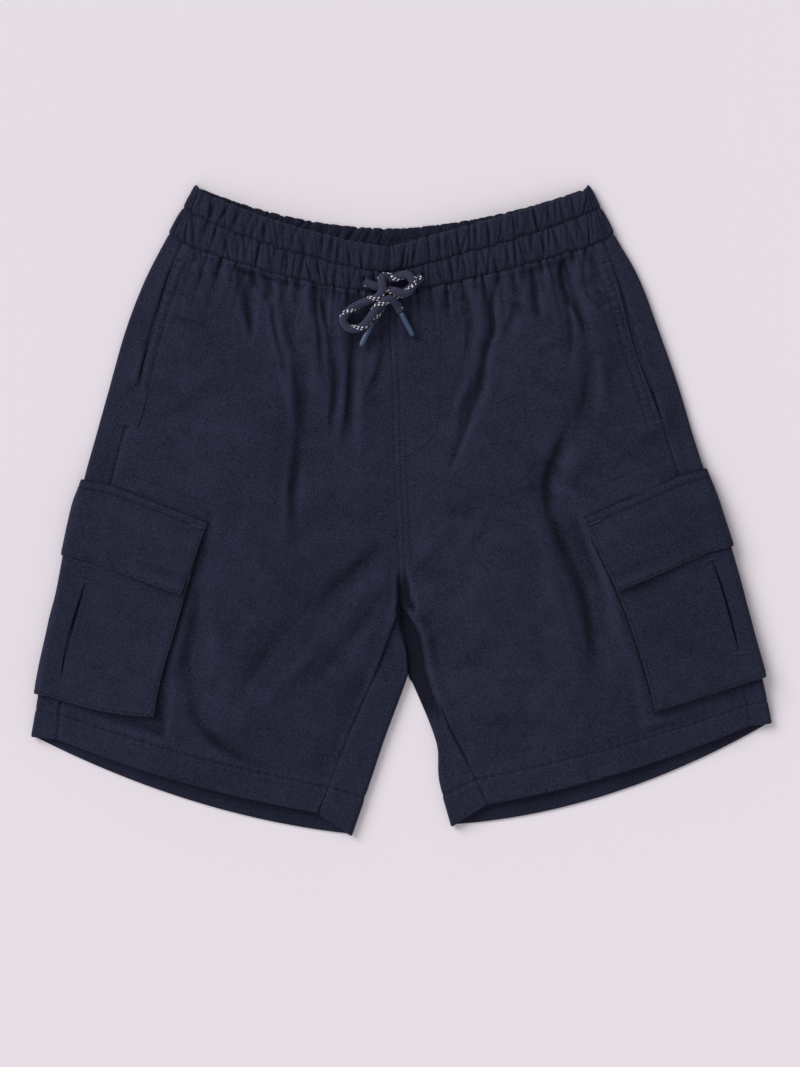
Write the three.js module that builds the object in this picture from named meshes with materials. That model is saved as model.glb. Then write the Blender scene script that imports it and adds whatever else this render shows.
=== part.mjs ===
// Child's elastic-waist cargo shorts, laid flat on their back with the front up.
// Millimetres.  +X is the wearer's left, +Y runs up to the waist and +Z is up from the
// surface that the shorts lie on.  Right and left are the wearer's.
import * as THREE from 'three';

// Cloth and seams
const WALL = 1.2;                // one layer of cloth
const HEM_WALL = 1.9;            // the same cloth turned up at the hem
const BAND_WALL = 2.0;           // waistband, folded over its elastic
const BAND_BACK_WALL = 1.6;      // its back half, thinner between the gathers
const SEAM_GAP = 0.3;
const TURN_RADIUS = 3.2;         // rounded turn of the cloth at each edge of a leg

// Levels down the side, in millimetres from the waist edge
const CASING_STITCH = 18;
const WAIST_SEAM = 41;
const CROTCH = 256;
const HEM_FOLD = 402;
const HEM = 422;

// Gathers
const FRONT_GATHERS = 16;        // on each half of the front, waistband and panel alike
const BACK_GATHERS = 13;         // on each half of the back waistband, seen on its inside
const BAND_GATHER = 0.9;         // how far they stand out
const BAND_PUFF = 1.4;           // rounding of each tier between its two stitch lines
const PANEL_GATHER = 1.4;

// Side pocket mouth, on the side seam
const MOUTH_TOP = 54;
const MOUTH_BOTTOM = 183;
const FACING_REACH = 9;          // facing strip, to each side of the seam
const FACING_WALL = 1.0;

// Cargo pocket, in distances from the side seam and down the side
const POCKET_BACK_REACH = 46;    // past the turn, on the underside of the leg
const POCKET_DROP = 13;          // from the top of the flap to the hidden pocket mouth
const FLAP_RAMP = 10;            // the flap climbs over the pocket mouth in this distance
const GUSSET_SHOW = 2;           // gusset seen past the pocket's inner edge
const GUSSET_WIDTH = 16;
const SLIT_DEPTH = 0.8;
const POCKET_LIFT = 3;           // the leg rides on the pocket and flap folded under it

// Drawcord
const CORD_RADIUS = 2.5;
const CORD_SIDES = 8;
const CORD_STEP = 4.2;
const TIP_RADIUS = 2.3;
const TIP_LENGTH = 20;

const table = (columns, rows) => rows.map((row) => (
  Object.fromEntries(columns.map((name, place) => [name, row[place]]))));

// Where each level of a leg meets the outline, the side seam, the inner edge of the front
// (centre front, then inseam) and the far edge of the back (centre back, then the inside
// outline of the leg), and how far it droops between them on the front and on the back.
const LEVEL_COLUMNS = ['down', 'outer', 'seam', 'inner', 'under', 'sag', 'backSag'];
const RIGHT_LEVELS = table(LEVEL_COLUMNS, [
  [0, [-153, 242], [-145, 235], [-10, 195], [0, 210], 5, 8],
  [CASING_STITCH, [-162, 225], [-155, 220], [-10, 176], [0, 193], 6, 8],
  [WAIST_SEAM, [-173, 206], [-163, 199], [-9, 160], [0, 176], 6, 8],
  [72, [-190, 173], [-175, 170], [-8, 128], [0, 141], 4, 6],
  [112, [-205, 135], [-187, 131], [-6, 84], [0, 97], 2, 4],
  [159, [-218, 89], [-198, 86], [-5, 34], [1, 45], 0, 2],
  [202, [-229, 49], [-210, 45], [-3, -11], [2, -7], 0, 0],
  [CROTCH, [-243, -5], [-222, -8], [0, -68], [5, -122], 0, 0],
  [312, [-254, -57], [-236, -62], [-20, -122], [0, -136], 0, 2],
  [362, [-265, -107], [-249, -111], [-40, -168], [-13, -171], 1, 4],
  [394, [-270, -138], [-253, -142], [-51, -196], [-23, -201], 3, 8],
  [HEM, [-275.5, -168], [-256, -170], [-63, -224], [-37, -242], 5, 11.5],
]);
const LEFT_LEVELS = table(LEVEL_COLUMNS, [
  [0, [139, 242], [135, 237], [-10, 195], [0, 210], 1, 5],
  [CASING_STITCH, [148, 225], [141, 221], [-10, 176], [0, 193], 3, 5],
  [WAIST_SEAM, [158, 206], [150, 200], [-9, 160], [0, 176], 3.5, 5],
  [72, [176, 174], [163, 167], [-8, 128], [0, 141], 3, 4],
  [112, [191, 135], [174, 129], [-6, 84], [0, 97], 2, 3],
  [159, [206, 92], [187, 88], [-5, 34], [1, 45], 0, 2],
  [202, [218, 52], [199, 47], [-3, -11], [2, -7], 0, 0],
  [CROTCH, [236, -5], [219, -9], [0, -68], [5, -122], 0, 0],
  [312, [251, -56], [237, -59], [20, -121], [9, -130], 0, 3],
  [362, [263, -103], [250, -108], [37, -165], [26, -173], 1, 6],
  [394, [270, -133], [255, -137], [51, -191], [28, -201], 3, 10],
  [HEM, [275.5, -158], [259, -160], [64, -218], [37, -235], 6, 14.5],
]);

// Height of the front's outer face at the side seam and at its inner edge, and how far it
// rises between them.
const HEIGHTS = table(['down', 'seamZ', 'innerZ', 'rise'], [
  [0, 7, 13, 2],
  [CASING_STITCH, 7, 13, 2],
  [WAIST_SEAM, 7, 12.5, 2.5],
  [72, 7.5, 12, 3.5],
  [112, 8, 12, 4.5],
  [159, 8.5, 11.5, 5],
  [202, 9, 10.5, 6],
  [CROTCH, 9.5, 6.5, 8],
  [312, 9.5, 6.5, 7.5],
  [362, 9.5, 7.5, 6.5],
  [394, 8.8, 8, 6.5],
  [HEM, 8, 8, 6.5],
]);

// How far the underside of each leg is lifted where the cargo pocket is folded under it.
const LIFTS = table(['down', 'lift'], [
  [0, 0],
  [190, 0],
  [218, POCKET_LIFT],
  [396, POCKET_LIFT],
  [419, 0],
  [HEM, 0],
]);
const LIFT_REACH = 52;           // full lift this far in from the outline
const LIFT_FADE = 34;

// The largest folds of the front.  Each ridge runs from start past bend to end.
const FOLDS = table(['start', 'bend', 'end', 'height', 'width'], [
  [[-99, 170], [-90, 120], [-82, 88], 1.6, 8],
  [[-62, 168], [-50, 120], [-50, 72], 1.6, 8],
  [[-20, 162], [-27, 104], [-38, 40], 1.6, 9],
  [[118, 196], [127, 140], [134, 96], 1.8, 7],
  [[69, 178], [62, 115], [36, 36], 1.7, 10],
  [[108, 30], [136, -50], [150, -118], 1.3, 11],
  [[-12, -44], [-60, -118], [-106, -178], 1.2, 13],
]);
const FOLD_STEPS = 10;

// Each flap and pocket: its inner edge's distance from the side seam, and its top and
// bottom measured down the side, at the outline and at the inner edge.
const PATCH_COLUMNS = ['innerTop', 'innerBottom', 'topOuter', 'topInner', 'bottomOuter', 'bottomInner'];
const RIGHT_PATCHES = {
  flap: table(PATCH_COLUMNS, [[77, 71, 228, 236, 287, 293]])[0],
  pocket: table(PATCH_COLUMNS, [[75, 72, 228, 236, 392, 387]])[0],
};
const LEFT_PATCHES = {
  flap: table(PATCH_COLUMNS, [[79, 74.5, 222, 232, 280, 291]])[0],
  pocket: table(PATCH_COLUMNS, [[77, 69, 222, 232, 384, 388]])[0],
};

// Drawcord.  The right cord leaves its buttonhole, passes under the knot into the loop on
// the wearer's left, wraps down over the knot into the loop on the right, and ends in the
// left of the two tails.  The left cord passes under both to the other tail.
const RIGHT_CORD = [
  [-27.5, 169, 18.4], [-23.5, 167, 18.4], [-18.5, 165, 18.4], [-13.5, 163.5, 18.4],
  [-8.5, 162.5, 20.6], [-3.5, 161, 23.6], [2, 159.5, 23.6], [6, 161.5, 23.6],
  [8.5, 166, 23.6], [7.5, 170.5, 23.6], [3.5, 173.5, 22.6], [-1.5, 172.5, 20.9],
  [-6.5, 171, 19.9], [-11, 172.5, 20.9], [-14.5, 171, 23], [-14, 166.5, 24.1],
  [-14, 162, 23.7], [-17, 157.5, 22.1], [-22, 155.5, 18.9], [-29, 153, 17.6],
  [-36.5, 149.5, 17.6], [-41.5, 144.5, 17.6], [-43, 139.5, 17.6], [-39, 134.5, 17.6],
  [-32.5, 134, 18.9], [-26.5, 137.5, 21.7], [-22, 143.5, 22.8], [-18, 149.5, 22.8],
  [-13.5, 153.5, 23], [-9, 155.5, 23.2], [-5.2, 153.6, 21.4], [-2.5, 149.8, 18.4],
  [-0.7, 146.4, 18],
];
const LEFT_CORD = [
  [15, 172.5, 18.4], [11.5, 169, 18.4], [7.5, 165, 18.4], [3, 161.5, 18.3],
  [-2, 159, 18], [-7.5, 157.5, 17.6], [-12, 154, 17.5], [-15.5, 149, 17.5],
  [-19, 144, 17.6], [-21.4, 139, 17.7],
];

// Colours
const CLOTH_COLOUR = 0x25263a;
const FLAP_COLOUR = 0x27293c;
const BAND_COLOUR = 0x232438;
const CORD_COLOUR = 0x3a4258;
const TIP_COLOUR = 0x2a3c5c;

const lerp = (from, to, part) => from + (to - from) * part;
const clamp01 = (value) => Math.min(1, Math.max(0, value));
const smooth = (value) => {
  const part = clamp01(value);
  return part * part * (3 - 2 * part);
};
const mix = (from, to, part) => from.map((value, axis) => lerp(value, to[axis], part));
const unit = (vector) => {
  const size = Math.hypot(...vector);
  return vector.map((value) => value / size);
};

// A fixed uneven number between 0 and 1 for the gather with this number.
const uneven = (number) => {
  const value = Math.sin(number * 12.9898 + 4.1414) * 437.585;
  return value - Math.floor(value);
};

// Smooth curve through one column of a table, at a distance down the side.  The lines in
// cornered columns turn a corner at the crotch.
function through(rows, column, down) {
  const cornered = column === 'inner' || column === 'under';
  let at = 0;
  while (at < rows.length - 2 && down >= rows[at + 1].down) at += 1;
  const start = rows[at];
  const end = rows[at + 1];
  const startIsEnd = at === 0 || (cornered && start.down === CROTCH);
  const endIsEnd = at + 2 === rows.length || (cornered && end.down === CROTCH);
  const before = startIsEnd ? start : rows[at - 1];
  const after = endIsEnd ? end : rows[at + 2];
  const span = end.down - start.down;
  const part = (down - start.down) / span;
  const value = (row, axis) => (Array.isArray(row[column]) ? row[column][axis] : row[column]);
  const curve = (axis) => {
    const p0 = value(start, axis);
    const p1 = value(end, axis);
    const m0 = (p1 - value(before, axis)) / (end.down - before.down) * span;
    const m1 = (value(after, axis) - p0) / (after.down - start.down) * span;
    const square = part * part;
    const cube = square * part;
    return p0 * (2 * cube - 3 * square + 1) + m0 * (cube - 2 * square + part)
      + p1 * (3 * square - 2 * cube) + m1 * (cube - square);
  };
  return Array.isArray(start[column]) ? [curve(0), curve(1)] : curve(0);
}

// Straight lines between the rows of a table.
function between(rows, column, down) {
  let at = 0;
  while (at < rows.length - 2 && down > rows[at + 1].down) at += 1;
  const part = clamp01((down - rows[at].down) / (rows[at + 1].down - rows[at].down));
  return lerp(rows[at][column], rows[at + 1][column], part);
}

const LEGS = [
  { name: 'right', sign: -1, rows: RIGHT_LEVELS, patches: RIGHT_PATCHES, slit: [303, 374], gape: 1.2, levels: new Map() },
  { name: 'left', sign: 1, rows: LEFT_LEVELS, patches: LEFT_PATCHES, slit: [287, 358], gape: 2.5, levels: new Map() },
];

function level(leg, down) {
  if (leg.levels.has(down)) return leg.levels.get(down);
  const row = Object.fromEntries(['outer', 'seam', 'inner', 'under', 'sag', 'backSag']
    .map((column) => [column, through(leg.rows, column, down)]));
  row.seamZ = through(HEIGHTS, 'seamZ', down);
  row.innerZ = through(HEIGHTS, 'innerZ', down);
  row.rise = through(HEIGHTS, 'rise', down);
  row.lift = between(LIFTS, 'lift', down);
  row.frontWidth = Math.hypot(row.inner[0] - row.seam[0], row.inner[1] - row.seam[1]);
  row.outward = unit([row.outer[0] - row.seam[0], row.outer[1] - row.seam[1]]);
  row.turn = [row.outer[0] - row.outward[0] * TURN_RADIUS, row.outer[1] - row.outward[1] * TURN_RADIUS];
  row.backEnd = row.under;
  if (down >= CROTCH) {
    row.inward = unit([row.inner[0] - row.under[0], row.inner[1] - row.under[1]]);
    row.backEnd = [row.under[0] + row.inward[0] * TURN_RADIUS, row.under[1] + row.inward[1] * TURN_RADIUS];
    row.stripWidth = Math.hypot(row.inner[0] - row.backEnd[0], row.inner[1] - row.backEnd[1]);
  }
  row.floorWidth = Math.hypot(row.backEnd[0] - row.turn[0], row.backEnd[1] - row.turn[1]);
  leg.levels.set(down, row);
  return row;
}

// Nearest approach of a point to each fold, as the height of the ridge there.
function foldRise(x, y) {
  let rise = 0;
  for (const fold of FOLDS) {
    let nearest = Infinity;
    let place = 0;
    for (let step = 0; step <= FOLD_STEPS; step += 1) {
      const part = step / FOLD_STEPS;
      const point = mix(mix(fold.start, fold.bend, part), mix(fold.bend, fold.end, part), part);
      const distance = Math.hypot(x - point[0], y - point[1]);
      if (distance < nearest) {
        nearest = distance;
        place = part;
      }
    }
    const taper = smooth(place * 5 + 0.4) * smooth((1 - place) * 2.5);
    rise += fold.height * taper * Math.exp(-((nearest / fold.width) ** 2));
  }
  return rise;
}

// Outer face of a leg.  around runs from -1 at the front's inner edge to 0 at the side
// seam, 1 where the cloth starts to turn at the outline, 2 on the surface below, 3 at the
// centre back or the inside outline, 4 on top again and 5 at the inseam.
function cloth(leg, around, down, folds = true) {
  const row = level(leg, down);
  const shift = leg.sign * SEAM_GAP / 2;
  if (around <= 0) {
    const [x, y] = mix(row.seam, row.inner, -around);
    const hump = 4 * -around * (1 + around);
    const drooped = y - row.sag * hump;
    const ridge = folds && down > WAIST_SEAM && around > -1 ? foldRise(x, drooped) : 0;
    return [x + shift, drooped, lerp(row.seamZ, row.innerZ, -around) + row.rise * hump + ridge];
  }
  const turnTop = row.lift + 2 * TURN_RADIUS;
  if (around <= 1) {
    const [x, y] = mix(row.seam, row.turn, around);
    return [x + shift, y, lerp(row.seamZ, turnTop, smooth(around))];
  }
  if (around <= 2) {
    const angle = (around - 1) * Math.PI;
    const reach = TURN_RADIUS * Math.sin(angle);
    return [row.turn[0] + row.outward[0] * reach + shift, row.turn[1] + row.outward[1] * reach,
      row.lift + TURN_RADIUS * (1 + Math.cos(angle))];
  }
  if (around <= 3 || down < CROTCH) {
    const part = around - 2;
    const [x, y] = mix(row.turn, row.backEnd, part);
    const settled = 1 - smooth((part * row.floorWidth - LIFT_REACH) / LIFT_FADE);
    return [x + shift, y - row.backSag * 4 * part * (1 - part), row.lift * settled];
  }
  if (around <= 4) {
    const angle = (around - 3) * Math.PI;
    const reach = TURN_RADIUS * Math.sin(angle);
    return [row.backEnd[0] - row.inward[0] * reach + shift, row.backEnd[1] - row.inward[1] * reach,
      TURN_RADIUS * (1 - Math.cos(angle))];
  }
  const [x, y] = mix(row.backEnd, row.inner, around - 4);
  return [x + shift, y, lerp(2 * TURN_RADIUS, row.innerZ, smooth(around - 4))];
}

// Direction out of the cloth.  On the centre seams it has no sideways part, so that the
// two halves keep their gap through the wall.
function outOf(leg, around, down) {
  const aroundStep = 0.01;
  const downStep = 0.5;
  const a = cloth(leg, around - aroundStep, down, false);
  const b = cloth(leg, around + aroundStep, down, false);
  const c = cloth(leg, around, down === CROTCH ? down : down - downStep, false);
  const d = cloth(leg, around, down + downStep, false);
  const across = new THREE.Vector3(b[0] - a[0], b[1] - a[1], b[2] - a[2]);
  const along = new THREE.Vector3(d[0] - c[0], d[1] - c[1], d[2] - c[2]);
  const out = across.cross(along).multiplyScalar(-leg.sign);
  const onCentre = around <= -0.999 || (down === CROTCH && around > 3);
  if (onCentre) out.x = 0;
  return out.normalize();
}

// A point of the cloth moved out of it.
function place(leg, around, down, offset, folds = true) {
  const point = cloth(leg, around, down, folds);
  const out = outOf(leg, around, down);
  return [point[0] + out.x * offset, point[1] + out.y * offset, point[2] + out.z * offset];
}

// Triangles between two lines of points, paired by their places along the lines.
function zip(lower, upper, faces) {
  let i = 0;
  let j = 0;
  const paired = lower.length === upper.length;
  while (i < lower.length - 1 || j < upper.length - 1) {
    const lowerEnds = i === lower.length - 1;
    const upperEnds = j === upper.length - 1;
    const lowerNext = paired ? i <= j : !lowerEnds && !upperEnds
      && lower[i].t + lower[i + 1].t <= upper[j].t + upper[j + 1].t;
    if (!lowerEnds && (upperEnds || lowerNext)) {
      faces.push([lower[i].index, lower[i + 1].index, upper[j].index]);
      i += 1;
    } else {
      faces.push([lower[i].index, upper[j + 1].index, upper[j].index]);
      j += 1;
    }
  }
}

// Faces of a sheet given as rows of points.  A row may reach further than the one above it.
function sheetFaces(rows) {
  const faces = [];
  for (let at = 0; at + 1 < rows.length; at += 1) {
    const above = rows[at];
    const reach = above[above.length - 1].t + 1e-6;
    const below = rows[at + 1].length > above.length
      ? rows[at + 1].filter((vertex) => vertex.t <= reach) : rows[at + 1];
    zip(above, below, faces);
  }
  return faces;
}

function closedMesh(name, points, faces, colour) {
  let volume = 0;
  const a = new THREE.Vector3();
  const b = new THREE.Vector3();
  const c = new THREE.Vector3();
  for (const [i, j, k] of faces) {
    volume += a.fromArray(points[i]).dot(b.fromArray(points[j]).cross(c.fromArray(points[k])));
  }
  const facing = volume > 0 ? faces : faces.map(([i, j, k]) => [i, k, j]);
  const geometry = new THREE.BufferGeometry();
  geometry.setAttribute('position', new THREE.Float32BufferAttribute(points.flat(), 3));
  geometry.setIndex(facing.flat());
  geometry.computeVertexNormals();
  const material = new THREE.MeshStandardMaterial({ color: colour, roughness: 0.9, metalness: 0 });
  const mesh = new THREE.Mesh(geometry, material);
  mesh.name = name;
  return mesh;
}

// Solid of a sheet whose two faces have the same points across.
function wallOfSheet(name, rows, colour) {
  const outer = [];
  const inner = [];
  for (const row of rows) {
    for (const vertex of row) {
      vertex.index = outer.length;
      outer.push(vertex.outer);
      inner.push(vertex.inner);
    }
  }
  const faces = sheetFaces(rows);
  const edges = new Set();
  for (const [i, j, k] of faces) {
    for (const edge of [[i, j], [j, k], [k, i]]) edges.add(edge.join(' '));
  }
  const back = outer.length;
  const all = faces.concat(faces.map(([i, j, k]) => [i + back, k + back, j + back]));
  for (const edge of edges) {
    const [i, j] = edge.split(' ').map(Number);
    if (!edges.has(`${j} ${i}`)) {
      all.push([j, i, i + back]);
      all.push([j, i + back, j + back]);
    }
  }
  return closedMesh(name, outer.concat(inner), all, colour);
}

// Edge of a sheet as one closed line, with its place t from 0 to 4 round the four sides.
function edgeLoop(rows) {
  const first = rows[0];
  const last = rows[rows.length - 1];
  const share = (vertex, row) => (vertex.t - row[0].t) / (row[row.length - 1].t - row[0].t);
  const fall = (row) => (row.down - first.down) / (last.down - first.down);
  const loop = first.map((vertex) => ({ index: vertex.index, t: share(vertex, first) }));
  rows.slice(1, -1).forEach((row) => loop.push({ index: row[row.length - 1].index, t: 1 + fall(row) }));
  [...last].reverse().forEach((vertex) => loop.push({ index: vertex.index, t: 3 - share(vertex, last) }));
  rows.slice(1, -1).reverse().forEach((row) => loop.push({ index: row[0].index, t: 4 - fall(row) }));
  loop.push({ index: first[0].index, t: 4 });
  return loop;
}

// Solid between an outer and an inner sheet that have different points across.
function wallOfTwo(name, outerRows, innerRows, colour) {
  const points = [];
  for (const row of outerRows.concat(innerRows)) {
    for (const vertex of row) {
      vertex.index = points.length;
      points.push(vertex.point);
    }
  }
  const faces = sheetFaces(outerRows);
  sheetFaces(innerRows).forEach(([i, j, k]) => faces.push([i, k, j]));
  const outerLoop = edgeLoop(outerRows);
  const innerLoop = edgeLoop(innerRows);
  zip(innerLoop, outerLoop, faces);
  return closedMesh(name, points, faces, colour);
}

// Gathers are spaced evenly in step, from 0 at the side seam to 1 at the centre front, and
// this gives their real, uneven place.
const gatherPlace = (step) => step + 0.014 * Math.sin(4 * Math.PI * step)
  + 0.008 * Math.sin(10 * Math.PI * step);

// Height of one gather, 0 to 1, rounded on top and sharp in the valley between two.
function gatherShape(step, count, leg) {
  const number = Math.floor(step * count + 1e-6);
  const size = 0.7 + 0.3 * uneven(number + 50 + 17 * leg.sign);
  return size * Math.abs(Math.sin(Math.PI * step * count));
}

function panelGather(step, down, leg) {
  const number = Math.floor(step * FRONT_GATHERS + 1e-6);
  const length = 45 + 38 * uneven(number + 9 * leg.sign);
  const fade = 1 - smooth((down - WAIST_SEAM) / length);
  return PANEL_GATHER * fade * gatherShape(step, FRONT_GATHERS, leg);
}

const steps = (count, from = 0, to = 1) => Array.from({ length: count + 1 }, (_, at) => (
  lerp(from, to, at / count)));

// The front's side edge stands back from the seam line, more so at the pocket mouth.
function frontEdge(leg, down) {
  const mouth = clamp01((down - MOUTH_TOP) / (MOUTH_BOTTOM - MOUTH_TOP));
  return (SEAM_GAP + leg.gape * Math.sin(Math.PI * mouth) ** 0.7) / level(leg, down).frontWidth;
}

function frontPanel(leg) {
  const start = WAIST_SEAM + SEAM_GAP / 2;
  const outerLevels = [start, 47, 54, 64, 77, 93, 112, 135, 159, 183, 202, 220, 238,
    CROTCH, 275, 294, 312, 337, 362, 384, HEM_FOLD - 2, HEM];
  const innerLevels = [start, 54, 77, 112, 135, 159, 183, 202, 220, 238, CROTCH, 284, 312, 337, 362,
    384, HEM_FOLD - 1, HEM_FOLD + 1, HEM];
  const row = (down, columns, vertexAt) => {
    const edge = frontEdge(leg, down);
    const points = steps(columns).map((step) => ({
      t: step,
      point: vertexAt(step, -lerp(edge, 1, gatherPlace(step))),
    }));
    points.down = down;
    return points;
  };
  const columnsAt = (down) => {
    if (down < 70) return FRONT_GATHERS * 4;
    return down < 120 ? FRONT_GATHERS * 2 : 22;
  };
  const outer = outerLevels.map((down) => row(down, columnsAt(down), (step, around) => (
    place(leg, around, down, panelGather(step, down, leg)))));
  const inner = innerLevels.map((down) => row(down, 12, (step, around) => (
    place(leg, around, down, down > HEM_FOLD ? -HEM_WALL : -WALL, false))));
  return wallOfTwo(`front_panel_${leg.name}`, outer, inner, CLOTH_COLOUR);
}

// Places around the leg where the cloth turns at its outline.
const SIDE_STOPS = [0, 0.35, 0.7, 1, 1.17, 1.33, 1.5, 1.67, 1.83, 2];

function backPanel(leg) {
  const levels = [WAIST_SEAM + SEAM_GAP / 2, 56, 76, 100, 130, 159, 175, 190, 204, 218, 238, CROTCH,
    275, 294, 312, 337, 362, 384, 396, HEM_FOLD - 1, HEM_FOLD + 1, 412, HEM];
  const rows = levels.map((down) => {
    const { floorWidth, stripWidth } = level(leg, down);
    const floorStops = [LIFT_REACH / 2, LIFT_REACH, LIFT_REACH + LIFT_FADE / 2, LIFT_REACH + LIFT_FADE]
      .map((distance) => 2 + distance / floorWidth);
    const stops = down < WAIST_SEAM + 1 ? SIDE_STOPS.concat(steps(BACK_GATHERS * 2, 2, 3).slice(1))
      : SIDE_STOPS.concat(floorStops, lerp(floorStops[3], 3, 0.5), 3);
    if (down >= CROTCH) {
      stops.push(3.17, 3.33, 3.5, 3.67, 3.83, 4, 4.33, 4.67, 5 - SEAM_GAP * 1.4 / stripWidth);
    }
    const wall = down > HEM_FOLD ? HEM_WALL : WALL;
    return stops.map((around) => ({
      t: around,
      outer: place(leg, around, down, 0),
      inner: place(leg, around, down, -wall),
    }));
  });
  return wallOfSheet(`back_panel_${leg.name}`, rows, CLOTH_COLOUR);
}

// Share of the way down its own tier, for a level of the waistband.
const tierShare = (down) => (down <= CASING_STITCH ? down / CASING_STITCH
  : (down - CASING_STITCH) / (WAIST_SEAM - CASING_STITCH));
const tierRound = (down) => Math.sqrt(Math.max(0, Math.sin(Math.PI * tierShare(down))));

function waistband(leg) {
  const bottom = WAIST_SEAM - SEAM_GAP / 2;
  const outerLevels = [0, 1.6, 9, 16.4, CASING_STITCH, 20, 29.5, 39, bottom];
  const innerLevels = [0, 2, 9, 16, CASING_STITCH, 20, bottom];
  const frontSteps = steps(FRONT_GATHERS * 4);
  const backSteps = steps(BACK_GATHERS * 4);
  const outer = outerLevels.map((down) => {
    const round = tierRound(down);
    const puff = BAND_PUFF * round - 0.2;
    const gather = BAND_GATHER * (0.35 + 0.65 * round);
    const points = [];
    [...frontSteps].reverse().forEach((step) => {
      const around = -gatherPlace(step);
      const rise = puff + gather * gatherShape(step, FRONT_GATHERS, leg);
      points.push({ t: around, point: place(leg, around, down, rise) });
    });
    SIDE_STOPS.slice(1).forEach((around) => {
      const fade = 1 - smooth((around - 0.7) / 1.3);
      points.push({ t: around, point: place(leg, around, down, puff * fade) });
    });
    [2.33, 2.67, 3].forEach((around) => {
      points.push({ t: around, point: place(leg, around, down, 0) });
    });
    points.down = down;
    return points;
  });
  const inner = innerLevels.map((down) => {
    const round = tierRound(down);
    const gather = BAND_GATHER * (0.45 + 0.55 * round);
    const points = steps(9, -1, 0).concat([0.5, 1, 1.25, 1.5, 1.75, 2]).map((around) => ({
      t: around,
      point: place(leg, around, down, -lerp(BAND_WALL, BAND_BACK_WALL, smooth(around))),
    }));
    backSteps.slice(1).forEach((step) => {
      const around = 2 + gatherPlace(step);
      const rise = BAND_BACK_WALL + 0.4 * round + gather * gatherShape(step, BACK_GATHERS, leg);
      points.push({ t: around, point: place(leg, around, down, -rise) });
    });
    points.down = down;
    return points;
  });
  return wallOfTwo(`waistband_${leg.name}`, outer, inner, BAND_COLOUR);
}

// Strip that shows in the side pocket mouth, just under the front and the back.
function sidePocketFacing(leg) {
  const outside = -(WALL + SEAM_GAP);
  const rows = steps(7, MOUTH_TOP, MOUTH_BOTTOM).map((down) => {
    const { frontWidth, seam, turn } = level(leg, down);
    const stripWidth = Math.hypot(turn[0] - seam[0], turn[1] - seam[1]);
    const inner = -FACING_REACH / frontWidth;
    const outer = Math.min(FACING_REACH / stripWidth, 0.7);
    return [inner, 0, outer].map((around) => ({
      t: around,
      outer: place(leg, around, down, outside, false),
      inner: place(leg, around, down, outside - FACING_WALL, false),
    }));
  });
  return wallOfSheet(`side_pocket_facing_${leg.name}`, rows, CLOTH_COLOUR);
}

// Columns of a flap or pocket from its inner edge to its back edge.  inward is the share of
// the way from the side seam to the inner edge, and over is how much of the gusset's
// thickness lies under the column.
function patchColumns(leg, patch, share) {
  const reach = lerp(patch.innerTop, patch.innerBottom, share);
  const front = [1, 0.94, 0.75, 0.5, 0.25, 0.03, 0].map((inward) => ({
    inward, over: 1, aroundAt: (down) => -inward * reach / level(leg, down).frontWidth,
  }));
  const side = SIDE_STOPS.slice(1).map((around) => ({
    inward: 0, over: 1 - smooth(around - 1), aroundAt: () => around,
  }));
  const back = [0.5, 1].map((part) => ({
    inward: 0, over: 0, aroundAt: (down) => 2 + part * POCKET_BACK_REACH / level(leg, down).floorWidth,
  }));
  return front.concat(side, back);
}

const patchTop = (patch, inward) => lerp(patch.topOuter, patch.topInner, inward);
const patchBottom = (patch, inward) => lerp(patch.bottomOuter, patch.bottomInner, inward ** 2);

function patch(leg, name, shape, rowShares, topDrop, raiseAt) {
  const rows = rowShares.map((share) => (
    patchColumns(leg, shape, share).map((column, at) => {
      const top = patchTop(shape, column.inward) + topDrop;
      const down = lerp(top, patchBottom(shape, column.inward), share);
      const around = column.aroundAt(down);
      const outside = raiseAt(column, down, down - patchTop(shape, column.inward));
      return {
        t: at,
        outer: place(leg, around, down, outside),
        inner: place(leg, around, down, outside - WALL),
      };
    })));
  return wallOfSheet(name, rows, FLAP_COLOUR);
}

const GUSSET_OUTSIDE = SEAM_GAP + WALL;
const POCKET_OUTSIDE = SEAM_GAP + WALL;

function cargoPocket(leg) {
  const raiseAt = (column, down) => {
    const [slitTop, slitBottom] = leg.slit;
    const slit = column.aroundAt(down) === 0 && down > slitTop && down < slitBottom;
    return POCKET_OUTSIDE + GUSSET_OUTSIDE * column.over - (slit ? SLIT_DEPTH : 0);
  };
  const shares = [0, 0.2, 0.42, 0.5, 0.7, 0.87, 0.91, 1];
  return patch(leg, `cargo_pocket_${leg.name}`, leg.patches.pocket, shares, POCKET_DROP, raiseAt);
}

function cargoFlap(leg) {
  const raiseAt = (column, down, fromTop) => (
    lerp(GUSSET_OUTSIDE, POCKET_OUTSIDE * 2 + GUSSET_OUTSIDE * column.over, smooth(fromTop / FLAP_RAMP)));
  const shares = [0, 0.09, 0.18, 0.6, 1];
  return patch(leg, `cargo_flap_${leg.name}`, leg.patches.flap, shares, 0, raiseAt);
}

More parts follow.
